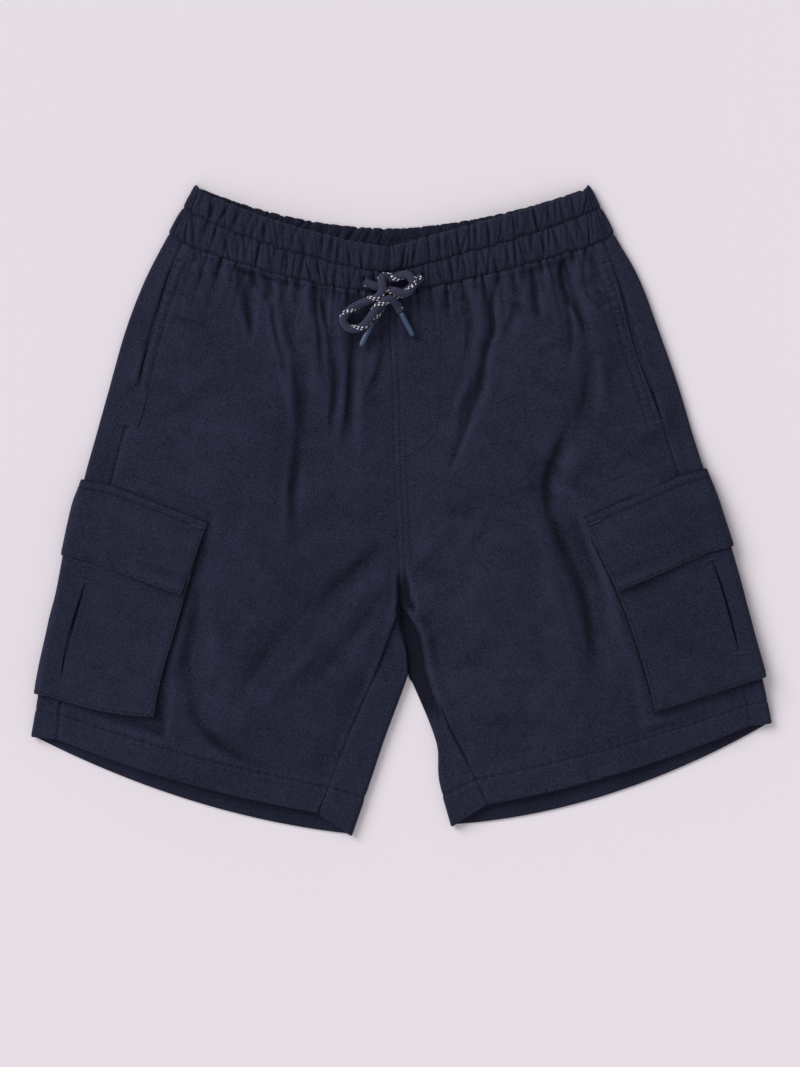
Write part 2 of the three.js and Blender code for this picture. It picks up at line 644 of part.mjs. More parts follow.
// Bellows strip along the inner edge and the bottom of the pocket, up to the outline.
function cargoGusset(leg) {
  const shape = leg.patches.pocket;
  const start = patchTop(shape, 1) + POCKET_DROP + 1;
  const end = patchBottom(shape, 1) + GUSSET_SHOW / 2;
  const sections = [];
  const across = (outer, inner) => sections.push([0, 0.5, 1].map((part) => mix(outer, inner, part)));
  steps(5, start, end - GUSSET_WIDTH).forEach((down) => {
    const share = (down - start) / (end - start);
    const edge = lerp(shape.innerTop, shape.innerBottom, share) + GUSSET_SHOW;
    across([-edge, down], [-edge + GUSSET_WIDTH, down]);
  });
  const corner = shape.innerBottom + GUSSET_SHOW;
  across([-corner, end], [-corner + GUSSET_WIDTH, end - GUSSET_WIDTH]);
  [0.75, 0.5, 0.25, 0].forEach((inward) => {
    const bottom = patchBottom(shape, inward) + GUSSET_SHOW / 2;
    across([-shape.innerBottom * inward, bottom], [-shape.innerBottom * inward, bottom - GUSSET_WIDTH]);
  });
  const outlineBottom = shape.bottomOuter + GUSSET_SHOW / 2;
  [0.35, 0.7, 1].forEach((around) => across([around, outlineBottom], [around, outlineBottom - GUSSET_WIDTH]));
  const rows = sections.map((section) => section.map(([sideways, down], at) => {
    const around = sideways < 0 ? sideways / level(leg, down).frontWidth : sideways;
    return {
      t: at,
      outer: place(leg, around, down, GUSSET_OUTSIDE),
      inner: place(leg, around, down, SEAM_GAP),
    };
  }));
  return wallOfSheet(`cargo_gusset_${leg.name}`, rows, FLAP_COLOUR);
}

function drawcord(name, route) {
  const curve = new THREE.CatmullRomCurve3(route.map((point) => new THREE.Vector3(...point)));
  const ring = steps(CORD_SIDES).slice(0, -1).map((part) => new THREE.Vector2(
    CORD_RADIUS * Math.cos(2 * Math.PI * part), CORD_RADIUS * Math.sin(2 * Math.PI * part)));
  const geometry = new THREE.ExtrudeGeometry(new THREE.Shape(ring), {
    steps: Math.round(curve.getLength() / CORD_STEP), extrudePath: curve, bevelEnabled: false,
  });
  const material = new THREE.MeshStandardMaterial({ color: CORD_COLOUR, roughness: 0.8, metalness: 0 });
  const mesh = new THREE.Mesh(geometry, material);
  mesh.name = name;
  return mesh;
}

// Dipped end of the cord, with a rounded nose, straight on from the end of the cord.
function cordTip(name, route) {
  const nose = TIP_RADIUS * 0.6;
  const profile = [[0, 0], [TIP_RADIUS, 0], [TIP_RADIUS, TIP_LENGTH - nose],
    [TIP_RADIUS * 0.75, TIP_LENGTH - nose * 0.3], [0, TIP_LENGTH]];
  const geometry = new THREE.LatheGeometry(profile.map((point) => new THREE.Vector2(...point)), CORD_SIDES);
  const material = new THREE.MeshStandardMaterial({ color: TIP_COLOUR, roughness: 0.35, metalness: 0 });
  const mesh = new THREE.Mesh(geometry, material);
  const start = new THREE.Vector3(...route[route.length - 1]);
  const direction = start.clone().sub(new THREE.Vector3(...route[route.length - 2])).normalize();
  mesh.position.copy(start).addScaledVector(direction, SEAM_GAP * 1.5);
  mesh.quaternion.setFromUnitVectors(new THREE.Vector3(0, 1, 0), direction);
  mesh.name = name;
  return mesh;
}

const shorts = new THREE.Group();
for (const leg of LEGS) {
  shorts.add(frontPanel(leg));
  shorts.add(backPanel(leg));
  shorts.add(waistband(leg));
  shorts.add(sidePocketFacing(leg));
  shorts.add(cargoGusset(leg));
  shorts.add(cargoPocket(leg));
  shorts.add(cargoFlap(leg));
}
shorts.add(drawcord('drawcord_right', RIGHT_CORD));
shorts.add(cordTip('cord_tip_right', RIGHT_CORD));
shorts.add(drawcord('drawcord_left', LEFT_CORD));
shorts.add(cordTip('cord_tip_left', LEFT_CORD));

export default shorts;
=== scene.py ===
import bpy
import numpy as np
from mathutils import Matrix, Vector


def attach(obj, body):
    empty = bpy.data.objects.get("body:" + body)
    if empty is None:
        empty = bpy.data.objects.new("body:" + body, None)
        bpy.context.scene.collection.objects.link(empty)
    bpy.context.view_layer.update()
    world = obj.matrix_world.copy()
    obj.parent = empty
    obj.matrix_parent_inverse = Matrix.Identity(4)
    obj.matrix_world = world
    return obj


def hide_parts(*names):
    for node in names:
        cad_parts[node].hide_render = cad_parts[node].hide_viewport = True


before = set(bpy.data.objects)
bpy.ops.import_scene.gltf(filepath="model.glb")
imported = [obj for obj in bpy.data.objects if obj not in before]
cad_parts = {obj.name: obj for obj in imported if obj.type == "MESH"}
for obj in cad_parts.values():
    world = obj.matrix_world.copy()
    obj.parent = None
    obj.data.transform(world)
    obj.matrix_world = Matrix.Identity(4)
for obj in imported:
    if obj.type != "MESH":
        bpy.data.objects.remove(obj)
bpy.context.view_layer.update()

# Surface, light and camera
# The shorts lie on a plain pale surface, lit from all round by soft studio light that is a
# little stronger from the wearer's right and the waist.  The camera looks straight down.
FLOOR_SIZE = 6000
CAMERA_HEIGHT = 1900
PHOTO_HEIGHT = 789.6
PHOTO_CENTRE = (-1.1, -17.0)
CLOTH_HEIGHT = 12
FLOOR_LEVEL = -0.2


def colour(red, green, blue):
    """Linear colour from the 0 to 255 values that a screen shows."""
    shares = [value / 255 for value in (red, green, blue)]
    linear = [share / 12.92 if share <= 0.04045 else ((share + 0.055) / 1.055) ** 2.4 for share in shares]
    return (*linear, 1)


def new_material(name, roughness, sheen=0.0, specular=0.5):
    """A material with its Principled shader, and the constants set on the shader's own sockets."""
    material = bpy.data.materials.new(name)
    material.use_nodes = True
    shader = material.node_tree.nodes["Principled BSDF"]
    shader.inputs["Roughness"].default_value = roughness
    shader.inputs["Specular IOR Level"].default_value = specular
    shader.inputs["Sheen Weight"].default_value = sheen
    shader.inputs["Sheen Roughness"].default_value = 0.45
    return material, material.node_tree, shader


def tint_group():
    """Two close colours mixed by a fine noise, which also comes out as a height."""
    group = bpy.data.node_groups.new("noise_tint", "ShaderNodeTree")
    make = group.interface.new_socket
    make("Scale", in_out="INPUT", socket_type="NodeSocketFloat")
    make("Dark Colour", in_out="INPUT", socket_type="NodeSocketColor")
    make("Light Colour", in_out="INPUT", socket_type="NodeSocketColor")
    make("Colour", in_out="OUTPUT", socket_type="NodeSocketColor")
    make("Height", in_out="OUTPUT", socket_type="NodeSocketFloat")
    entry = group.nodes.new("NodeGroupInput")
    leave = group.nodes.new("NodeGroupOutput")
    noise = group.nodes.new("ShaderNodeTexNoise")
    tint = group.nodes.new("ShaderNodeMix")
    tint.data_type = "RGBA"
    group.links.new(entry.outputs["Scale"], noise.inputs["Scale"])
    group.links.new(noise.outputs["Fac"], tint.inputs["Factor"])
    group.links.new(entry.outputs["Dark Colour"], tint.inputs["A"])
    group.links.new(entry.outputs["Light Colour"], tint.inputs["B"])
    group.links.new(tint.outputs["Result"], leave.inputs["Colour"])
    group.links.new(noise.outputs["Fac"], leave.inputs["Height"])
    return group


noise_tint = tint_group()


def tinted_material(name, roughness, scale, dark, light, sheen=0.0, specular=0.5, bump_height=None):
    """A material in two close colours.  bump_height is its relief in metres, if it has any."""
    material, tree, shader = new_material(name, roughness, sheen, specular)
    detail = tree.nodes.new("ShaderNodeGroup")
    detail.node_tree = noise_tint
    detail.inputs["Scale"].default_value = scale
    detail.inputs["Dark Colour"].default_value = dark
    detail.inputs["Light Colour"].default_value = light
    tree.links.new(detail.outputs["Colour"], shader.inputs["Base Color"])
    if bump_height:
        bump = tree.nodes.new("ShaderNodeBump")
        bump.inputs["Distance"].default_value = bump_height
        tree.links.new(detail.outputs["Height"], bump.inputs["Height"])
        tree.links.new(bump.outputs["Normal"], shader.inputs["Normal"])
    return material


def mesh_object(name, points, faces, materials, sharp=50):
    """A smooth mesh from points in millimetres."""
    mesh = bpy.data.meshes.new(name)
    mesh.from_pydata((np.asarray(points) / 1000).tolist(), [], faces)
    for material in materials:
        mesh.materials.append(material)
    mesh.polygons.foreach_set("use_smooth", [True] * len(mesh.polygons))
    mesh.set_sharp_from_angle(angle=np.radians(sharp))
    piece = bpy.data.objects.new(name, mesh)
    bpy.context.scene.collection.objects.link(piece)
    return piece


floor_material = tinted_material("pale_surface", 0.75, 3, colour(227, 219, 227), colour(231, 223, 231),
                                 specular=0.2)
half_floor = FLOOR_SIZE / 2
floor_corners = [(x * half_floor, y * half_floor, FLOOR_LEVEL)
                 for x, y in ((-1, -1), (1, -1), (1, 1), (-1, 1))]
floor = mesh_object("floor", floor_corners, [(0, 1, 2, 3)], [floor_material])

world = bpy.data.worlds.new("studio")
world.use_nodes = True
world.node_tree.nodes["Background"].inputs["Color"].default_value = (1.0, 1.0, 1.0, 1)
world.node_tree.nodes["Background"].inputs["Strength"].default_value = 0.43
bpy.context.scene.world = world
bpy.context.scene.view_settings.view_transform = "Standard"


def soft_sun(name, place, strength, spread):
    """Soft even light from one side, the same all over the surface."""
    light = bpy.data.lights.new(name, "SUN")
    light.energy = strength
    light.angle = np.radians(spread)
    lamp = bpy.data.objects.new(name, light)
    lamp.location = Vector(place) / 1000
    lamp.rotation_euler = (-lamp.location).to_track_quat("-Z", "Y").to_euler()
    bpy.context.scene.collection.objects.link(lamp)


soft_sun("key_light", (-1350, 1050, 1250), 2.35, 36)
soft_sun("fill_light", (-300, -1500, 1500), 0.62, 60)

camera_data = bpy.data.cameras.new("camera")
camera_data.sensor_fit = "VERTICAL"
camera_data.sensor_height = 36
camera_data.lens = 36 * (CAMERA_HEIGHT - CLOTH_HEIGHT) / PHOTO_HEIGHT
camera = bpy.data.objects.new("camera", camera_data)
camera.location = (PHOTO_CENTRE[0] / 1000, PHOTO_CENTRE[1] / 1000, CAMERA_HEIGHT / 1000)
bpy.context.scene.collection.objects.link(camera)
bpy.context.scene.camera = camera

# Drawcords
# A limp round braided cotton cord, 5.8 mm across.  Each half leaves a buttonhole in the
# waistband.  The two are tied at the centre front, with a loop on each side and two tails.
# Two white threads wind round the cord side by side and show as a double row of flecks.
CORD_RADIUS = 2.9
CORD_RIBS = 12
CORD_RING = 72
RIB_DEPTH = 0.45
FLECK_PITCH = 23
FLECK_STEP = 2.6
FLECK_SIZE = (0.82, 0.62)
FLECK_CORNERS = 8
CORD_STEP = 0.75
RIGHT_CORD = [
    (-27.5, 169, 18.4), (-23.5, 167, 18.4), (-18.5, 165, 18.4), (-13.5, 163.5, 18.4),
    (-8.5, 162.5, 20.6), (-3.5, 161, 23.6), (2, 159.5, 23.6), (6, 161.5, 23.6),
    (8.5, 166, 23.6), (7.5, 170.5, 23.6), (3.5, 173.5, 22.6), (-1.5, 172.5, 20.9),
    (-6.5, 171, 19.9), (-11, 172.5, 20.9), (-14.5, 171, 23), (-14, 166.5, 24.1),
    (-14, 162, 23.7), (-17, 157.5, 22.1), (-22, 155.5, 18.9), (-29, 153, 17.6),
    (-36.5, 149.5, 17.6), (-41.5, 144.5, 17.6), (-43, 139.5, 17.6), (-39, 134.5, 17.6),
    (-32.5, 134, 18.9), (-26.5, 137.5, 21.7), (-22, 143.5, 22.8), (-18, 149.5, 22.8),
    (-13.5, 153.5, 23), (-9, 155.5, 23.2), (-5.2, 153.6, 21.4), (-2.5, 149.8, 18.4),
    (-0.7, 146.4, 18),
]
LEFT_CORD = [
    (15, 172.5, 18.4), (11.5, 169, 18.4), (7.5, 165, 18.4), (3, 161.5, 18.3),
    (-2, 159, 18), (-7.5, 157.5, 17.6), (-12, 154, 17.5), (-15.5, 149, 17.5),
    (-19, 144, 17.6), (-21.4, 139, 17.7),
]


def smooth_line(points, step):
    """Points along a smooth curve through the given ones, a step apart."""
    points = np.asarray(points, float)
    ends = np.vstack([2 * points[0] - points[1], points, 2 * points[-1] - points[-2]])
    fine = []
    for before, start, end, after in zip(ends[:-3], ends[1:-2], ends[2:-1], ends[3:]):
        for part in np.arange(0, 1, 0.05):
            fine.append(0.5 * (2 * start + (end - before) * part
                               + (2 * before - 5 * start + 4 * end - after) * part ** 2
                               + (3 * start - before - 3 * end + after) * part ** 3))
    fine.append(points[-1])
    fine = np.array(fine)
    lengths = np.concatenate([[0], np.cumsum(np.linalg.norm(np.diff(fine, axis=0), axis=1))])
    wanted = np.linspace(0, lengths[-1], max(2, round(lengths[-1] / step) + 1))
    return np.stack([np.interp(wanted, lengths, fine[:, axis]) for axis in range(fine.shape[1])], axis=1)


def frames_along(line):
    """Direction, side and up of a line that bends in space, without twist."""
    ahead = np.gradient(line, axis=0)
    ahead /= np.linalg.norm(ahead, axis=1)[:, None]
    side = np.cross(ahead[0], (0, 0, 1))
    sides = []
    for direction in ahead:
        side = side - direction * side.dot(direction)
        side = side / np.linalg.norm(side)
        sides.append(side)
    sides = np.array(sides)
    return ahead, sides, np.cross(sides, ahead)


def tube(line, radii, ring):
    """Points and faces of a tube with closed ends.  radii is one row for each point of the line."""
    _, side, up = frames_along(line)
    angle = np.linspace(0, 2 * np.pi, ring, endpoint=False)
    round_it = side[:, None] * np.cos(angle)[None, :, None] + up[:, None] * np.sin(angle)[None, :, None]
    points = (line[:, None] + round_it * radii[:, :, None]).reshape(-1, 3)
    faces = []
    for at in range(len(line) - 1):
        for spoke in range(ring):
            following = (spoke + 1) % ring
            faces.append((at * ring + spoke, at * ring + following,
                          (at + 1) * ring + following, (at + 1) * ring + spoke))
    faces.append(tuple(range(ring)))
    faces.append(tuple(range((len(line) - 1) * ring, len(line) * ring))[::-1])
    return points, faces


cord_material, cord_nodes, cord_shader = new_material("cord_braid", 0.85, sheen=0.06, specular=0.15)
cord_noise = cord_nodes.nodes.new("ShaderNodeTexNoise")
cord_noise.inputs["Scale"].default_value = 900
cord_noise.inputs["Detail"].default_value = 3
cord_tint = cord_nodes.nodes.new("ShaderNodeMix")
cord_tint.data_type = "RGBA"
cord_tint.inputs["A"].default_value = colour(12, 13, 24)
cord_tint.inputs["B"].default_value = colour(74, 74, 102)
# The grooves between the braid's ribs are painted darker, as shade, by a per-point attribute.
cord_rib_shade = cord_nodes.nodes.new("ShaderNodeAttribute")
cord_rib_shade.attribute_name = "rib_shade"
cord_mix = cord_nodes.nodes.new("ShaderNodeMath")
cord_mix.operation = "MULTIPLY"
cord_nodes.links.new(cord_rib_shade.outputs["Fac"], cord_mix.inputs[0])
cord_gain = cord_nodes.nodes.new("ShaderNodeMath")
cord_gain.operation = "ADD"
cord_gain.inputs[1].default_value = 0.45
cord_nodes.links.new(cord_noise.outputs["Fac"], cord_gain.inputs[0])
cord_nodes.links.new(cord_gain.outputs["Value"], cord_mix.inputs[1])
cord_nodes.links.new(cord_mix.outputs["Value"], cord_tint.inputs["Factor"])
cord_nodes.links.new(cord_tint.outputs["Result"], cord_shader.inputs["Base Color"])
cord_bump = cord_nodes.nodes.new("ShaderNodeBump")
cord_bump.inputs["Distance"].default_value = 0.0002
cord_nodes.links.new(cord_noise.outputs["Fac"], cord_bump.inputs["Height"])
cord_nodes.links.new(cord_bump.outputs["Normal"], cord_shader.inputs["Normal"])

fleck_material = tinted_material("cord_fleck", 0.8, 1500, colour(206, 204, 208), colour(246, 245, 246),
                                 sheen=0.2, specular=0.3)


def flecks(name, line, turn_start):
    """Small raised lozenges in two rows that wind round the cord."""
    ahead, side, up = frames_along(line)
    length = len(line) - 1
    step = np.linalg.norm(line[1] - line[0])
    points = []
    faces = []
    shape = [(np.cos(a), np.sin(a)) for a in np.linspace(0, 2 * np.pi, FLECK_CORNERS, endpoint=False)]
    for row, shift in ((-1, 0), (1, 0.5)):
        for place in np.arange(1.5 + shift * FLECK_STEP, length * step - 1.5, FLECK_STEP):
            at = int(place / step)
            turn = turn_start - 2 * np.pi * place / FLECK_PITCH
            centre_turn = turn + row * 0.98 / CORD_RADIUS
            first = len(points)
            for across, along in shape:
                angle = centre_turn + (across * FLECK_SIZE[1] - along * FLECK_SIZE[0] * 0.3) / CORD_RADIUS
                spot = line[at] + ahead[at] * along * FLECK_SIZE[0]
                turned = side[at] * np.cos(angle) + up[at] * np.sin(angle)
                points.append(spot + turned * (CORD_RADIUS - 0.04))
            out = side[at] * np.cos(centre_turn) + up[at] * np.sin(centre_turn)
            points.append(line[at] + out * (CORD_RADIUS + 0.24))
            points.append(line[at] + out * (CORD_RADIUS - 0.5))
            for corner in range(FLECK_CORNERS):
                following = (corner + 1) % FLECK_CORNERS
                faces.append((first + corner, first + following, first + FLECK_CORNERS))
                faces.append((first + following, first + corner, first + FLECK_CORNERS + 1))
    return mesh_object(name, points, faces, [fleck_material], sharp=180)


def drawcord(name, route, turn_start):
    """The cord's braided tube, with painted shade in the grooves between its ribs, and the flecks on it."""
    line = smooth_line(route, CORD_STEP)
    angle = np.linspace(0, 2 * np.pi, CORD_RING, endpoint=False)[None, :]
    place = np.arange(len(line))[:, None] * CORD_STEP
    rib = np.abs(np.cos(CORD_RIBS / 2 * angle + 0.35 * np.sin(place * 2 * np.pi / 2.4)))
    plait = 0.05 * np.sin(place * 2 * np.pi / 1.9 + CORD_RIBS / 2 * angle)
    radii = CORD_RADIUS - RIB_DEPTH * (1 - rib) + plait
    points, faces = tube(line, radii, CORD_RING)
    cord = mesh_object(name + "_cord", points, faces, [cord_material])
    # Painted shade: 1 on the crest of each rib, falling to 0 in the grooves between; the end caps get 0.5.
    rib_shade = np.full(len(points), 0.5)
    rib_shade[:rib.size] = rib.ravel() ** 1.7
    cord.data.attributes.new("rib_shade", "FLOAT", "POINT").data.foreach_set("value", rib_shade)
    return cord, flecks(name + "_flecks", line, turn_start), line


# Cord tips
# Each free end is dipped in a hard, glossy blue coat 20 mm long with a rounded nose, drawn
# tight round the braid, so it is thinner than the cord.
TIP_RADIUS = 2.3
TIP_LENGTH = 20
TIP_GAP = 0.45
TIP_RING = 24

tip_material = tinted_material("dipped_tip", 0.3, 300, colour(38, 52, 82), colour(48, 64, 96),
                               specular=0.6, bump_height=0.0001)


def cord_tip(name, route):
    """The dipped end, straight on from the last two points of the cord's route."""
    start = np.array(route[-1], float)
    ahead = start - np.array(route[-2], float)
    ahead /= np.linalg.norm(ahead)
    profile = [(0, 1.6), (0.25, 2.1), (0.9, TIP_RADIUS), (6, TIP_RADIUS * 0.99), (12, TIP_RADIUS * 0.97),
               (17.2, TIP_RADIUS * 0.95), (18.6, TIP_RADIUS * 0.84), (19.4, TIP_RADIUS * 0.62),
               (19.85, TIP_RADIUS * 0.34), (TIP_LENGTH, 0.12)]
    line = np.array([start + ahead * (TIP_GAP + place) for place, _ in profile])
    radii = np.array([[radius] * TIP_RING for _, radius in profile])
    points, faces = tube(line, radii, TIP_RING)
    return mesh_object(name + "_dip", points, faces, [tip_material], sharp=80)


for name, route, turn_start in (("drawcord_right", RIGHT_CORD, 0.4), ("drawcord_left", LEFT_CORD, 2.2)):
    cord, fleck, line = drawcord(name, route, turn_start)
    tip_node = name.replace("drawcord", "cord_tip")
    tip = cord_tip(tip_node, route)
    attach(cord, "root")
    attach(fleck, "root")
    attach(tip, "root")
    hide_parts(name)
    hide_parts(tip_node)

# Front panels
# One for each leg, in washed navy cotton with a slubbed weave, cut from the centre front to
# the side seam and joined at the centre front.  They are gathered into the waistband, and
# the hem is turned up 20 mm inside and stitched.
CROTCH = 256
WAIST_SEAM = 41
CASING_STITCH = 18
HEM_STITCH = 403
HEM = 422
SEAM_GAP = 0.04
TURN_RADIUS = 3.2
CLOTH_THICKNESS = 0.8
HEM_THICKNESS = 1.6
LOWEST_CLOTH = 0.4
VALLEY_DEPTH = 4.2
FRONT_GATHERS = 16
SMALL_GATHERS = 27
PANEL_GATHER = 1.4
MOUTH_TOP = 54
MOUTH_BOTTOM = 183
LIFT_REACH = 52
LIFT_FADE = 34
LEG_LEVELS = {
    # down, outline, side seam, inner edge of the front, far edge of the back, droop, back droop
    "right": [
        (0, (-153, 242), (-145, 235), (-10, 195), (0, 210), 5, 8),
        (18, (-162, 225), (-155, 220), (-10, 176), (0, 193), 6, 8),
        (41, (-173, 206), (-163, 199), (-9, 160), (0, 176), 6, 8),
        (72, (-190, 173), (-175, 170), (-8, 128), (0, 141), 4, 6),
        (112, (-205, 135), (-187, 131), (-6, 84), (0, 97), 2, 4),
        (159, (-218, 89), (-198, 86), (-5, 34), (1, 45), 0, 2),
        (202, (-229, 49), (-210, 45), (-3, -11), (2, -7), 0, 0),
        (256, (-243, -5), (-222, -8), (0, -68), (5, -122), 0, 0),
        (312, (-254, -57), (-236, -62), (-20, -122), (0, -136), 0, 2),
        (362, (-265, -107), (-249, -111), (-40, -168), (-13, -171), 1, 4),
        (394, (-270, -138), (-253, -142), (-51, -196), (-23, -201), 3, 8),
        (422, (-275.5, -168), (-256, -170), (-63, -224), (-37, -242), 5, 11.5),
    ],
    "left": [
        (0, (139, 242), (135, 237), (-10, 195), (0, 210), 1, 5),
        (18, (148, 225), (141, 221), (-10, 176), (0, 193), 3, 5),
        (41, (158, 206), (150, 200), (-9, 160), (0, 176), 3.5, 5),
        (72, (176, 174), (163, 167), (-8, 128), (0, 141), 3, 4),
        (112, (191, 135), (174, 129), (-6, 84), (0, 97), 2, 3),
        (159, (206, 92), (187, 88), (-5, 34), (1, 45), 0, 2),
        (202, (218, 52), (199, 47), (-3, -11), (2, -7), 0, 0),
        (256, (236, -5), (219, -9), (0, -68), (5, -122), 0, 0),
        (282, (243.4, -29), (228, -32.5), (13.5, -90), (6.4, -126), 0, 1),
        (312, (251, -56), (237, -59), (20, -121), (9, -130), 0, 3),
        (362, (263, -103), (250, -108), (37, -165), (26, -173), 1, 6),
        (394, (270, -133), (255, -137), (51, -191), (28, -201), 3, 10),
        (422, (275.5, -158), (259, -160), (64, -218), (37, -235), 6, 14.5),
    ],
}
HEIGHTS = [
    # down, height at the side seam, height at the inner edge, rise between
    (0, 7, 13, 2), (18, 7, 13, 2), (41, 7, 12.5, 2.5), (72, 7.5, 12, 3.5), (112, 8, 12, 4.5),
    (159, 8.5, 11.5, 5), (202, 9, 10.5, 6), (256, 9.5, 6.5, 8), (312, 9.5, 6.5, 7.5),
    (362, 9.5, 7.5, 6.5), (394, 8.8, 8, 6.5), (422, 8, 8, 6.5),
]
LIFTS = [(0, 0), (190, 0), (218, 3), (396, 3), (419, 0), (422, 0)]
LEGS = [
    {"name": "right", "sign": -1, "gape": 1.9},
    {"name": "left", "sign": 1, "gape": 4.0},
]


def blend_over(value):
    """0 below 0, 1 above 1, and a smooth rise between."""
    part = np.clip(value, 0, 1)
    return part * part * (3 - 2 * part)


def uneven(number):
    """A fixed uneven number between 0 and 1 for each whole number."""
    value = np.sin(np.asarray(number, float) * 12.9898 + 4.1414) * 437.585
    return value - np.floor(value)


def through(downs, values, down, cornered=False):
    """Smooth curve through the values given at some levels, which may corner at the crotch."""
    last = len(downs) - 1
    at = np.clip(np.searchsorted(downs, down, side="right") - 1, 0, last - 1)
    end = at + 1
    before = np.where((at == 0) | (cornered & (downs[at] == CROTCH)), at, at - 1)
    after = np.where((end == last) | (cornered & (downs[end] == CROTCH)), end, end + 1)
    span = downs[end] - downs[at]
    part = ((down - downs[at]) / span)[..., None]
    start_slope = (values[end] - values[before]) * (span / (downs[end] - downs[before]))[..., None]
    end_slope = (values[after] - values[at]) * (span / (downs[after] - downs[at]))[..., None]
    square = part ** 2
    cube = part ** 3
    return (values[at] * (2 * cube - 3 * square + 1) + start_slope * (cube - 2 * square + part)
            + values[end] * (3 * square - 2 * cube) + end_slope * (cube - square))


def level(leg, down):
    """Everything that the leg's shape needs at some levels."""
    rows = LEG_LEVELS[leg["name"]]
    downs = np.array([row[0] for row in rows], float)
    got = {}
    for place, name in enumerate(("outer", "seam", "inner", "under"), 1):
        values = np.array([row[place] for row in rows], float)
        got[name] = through(downs, values, down, name in ("inner", "under"))
    droops = np.array([row[5:] for row in rows], float)
    got["sag"], got["back_sag"] = np.moveaxis(through(downs, droops, down), -1, 0)
    heights = np.array(HEIGHTS, float)
    rises = through(heights[:, 0], heights[:, 1:], down)
    got["seam_z"], got["inner_z"], got["rise"] = np.moveaxis(rises, -1, 0)
    got["lift"] = np.interp(down, *np.array(LIFTS, float).T)
    got["front_width"] = np.linalg.norm(got["inner"] - got["seam"], axis=-1)
    outward = got["outer"] - got["seam"]
    got["outward"] = outward / np.linalg.norm(outward, axis=-1)[..., None]
    got["turn"] = got["outer"] - got["outward"] * TURN_RADIUS
    inward = got["inner"] - got["under"]
    got["inward"] = inward / np.linalg.norm(inward, axis=-1)[..., None]
    below = (down >= CROTCH)[..., None]
    got["back_end"] = np.where(below, got["under"] + got["inward"] * TURN_RADIUS, got["under"])
    got["floor_width"] = np.linalg.norm(got["back_end"] - got["turn"], axis=-1)
    got["strip_width"] = np.linalg.norm(got["inner"] - got["back_end"], axis=-1)
    return got


def cloth(leg, around, down):
    """Outer face of a leg.  around is -1 at the front's inner edge, 0 at the side seam, 1 where
    the cloth starts to turn at the outline, 2 below, 3 at the centre back or the inside
    outline, 4 on top again and 5 at the inseam."""
    row = level(leg, down)
    a = around[..., None]
    front = row["seam"] + (row["inner"] - row["seam"]) * -a
    hump = 4 * -around * (1 + around)
    front_z = row["seam_z"] + (row["inner_z"] - row["seam_z"]) * -around + row["rise"] * hump
    turn_top = row["lift"] + 2 * TURN_RADIUS
    strip = row["seam"] + (row["turn"] - row["seam"]) * a
    strip_z = row["seam_z"] + (turn_top - row["seam_z"]) * blend_over(around)
    angle = (around - 1) * np.pi
    half_turn = row["turn"] + row["outward"] * (TURN_RADIUS * np.sin(angle))[..., None]
    half_turn_z = row["lift"] + TURN_RADIUS * (1 + np.cos(angle))
    part = around - 2
    under = row["turn"] + (row["back_end"] - row["turn"]) * part[..., None]
    settled = 1 - blend_over((part * row["floor_width"] - LIFT_REACH) / LIFT_FADE)
    under_z = row["lift"] * settled
    angle = (around - 3) * np.pi
    inner_turn = row["back_end"] - row["inward"] * (TURN_RADIUS * np.sin(angle))[..., None]
    inner_turn_z = TURN_RADIUS * (1 - np.cos(angle))
    inseam = row["back_end"] + (row["inner"] - row["back_end"]) * (a - 4)
    inseam_z = 2 * TURN_RADIUS + (row["inner_z"] - 2 * TURN_RADIUS) * blend_over(around - 4)
    zones = [around <= 0, around <= 1, around <= 2, (around <= 3) | (down < CROTCH), around <= 4]
    flat = np.stack([
        np.select(zones, [place[..., axis] for place in (front, strip, half_turn, under, inner_turn)],
                  inseam[..., axis]) for axis in (0, 1)], axis=-1)
    z = np.select(zones, [front_z, strip_z, half_turn_z, under_z, inner_turn_z], inseam_z)
    droop = np.where(zones[0], row["sag"] * hump,
                     np.where(~zones[2] & zones[3], row["back_sag"] * 4 * part * (1 - part), 0))
    return np.stack([flat[..., 0] + leg["sign"] * SEAM_GAP / 2, flat[..., 1] - droop, z], axis=-1)


def place_cloth(leg, around, down, offset):
    """Points of the cloth moved out of it, and the direction out."""
    around, down, offset = np.broadcast_arrays(np.asarray(around, float), np.asarray(down, float),
                                               np.asarray(offset, float))
    above = np.where(down == CROTCH, down, down - 0.5)
    across = cloth(leg, around + 0.01, down) - cloth(leg, around - 0.01, down)
    along = cloth(leg, around, down + 0.5) - cloth(leg, around, above)
    out = np.cross(across, along) * -leg["sign"]
    at_crotch = (down == CROTCH) & (around > 3)
    at_centre_back = (np.abs(around - 3) < 1e-6) & (down < CROTCH)
    centre = (around <= -0.999) | at_crotch | at_centre_back
    out[..., 0] = np.where(centre, 0, out[..., 0])
    out /= np.linalg.norm(out, axis=-1)[..., None]
    points = cloth(leg, around, down) + out * offset[..., None]
    points[..., 2] = np.maximum(points[..., 2], LOWEST_CLOTH)
    return points, out


def on_front(leg, points):
    """around and down of points of the front that are given by x and y."""
    x, y = np.asarray(points, float).T
    x = x - leg["sign"] * SEAM_GAP / 2
    low = np.zeros(len(x))
    high = np.full(len(x), float(HEM))
    for _ in range(40):
        down = (low + high) / 2
        row = level(leg, down)
        part = (x - row["seam"][:, 0]) / (row["inner"][:, 0] - row["seam"][:, 0])
        height = row["seam"][:, 1] + (row["inner"][:, 1] - row["seam"][:, 1]) * part
        height -= row["sag"] * 4 * part * (1 - part)
        low = np.where(height > y, down, low)
        high = np.where(height > y, high, down)
    return -part, down


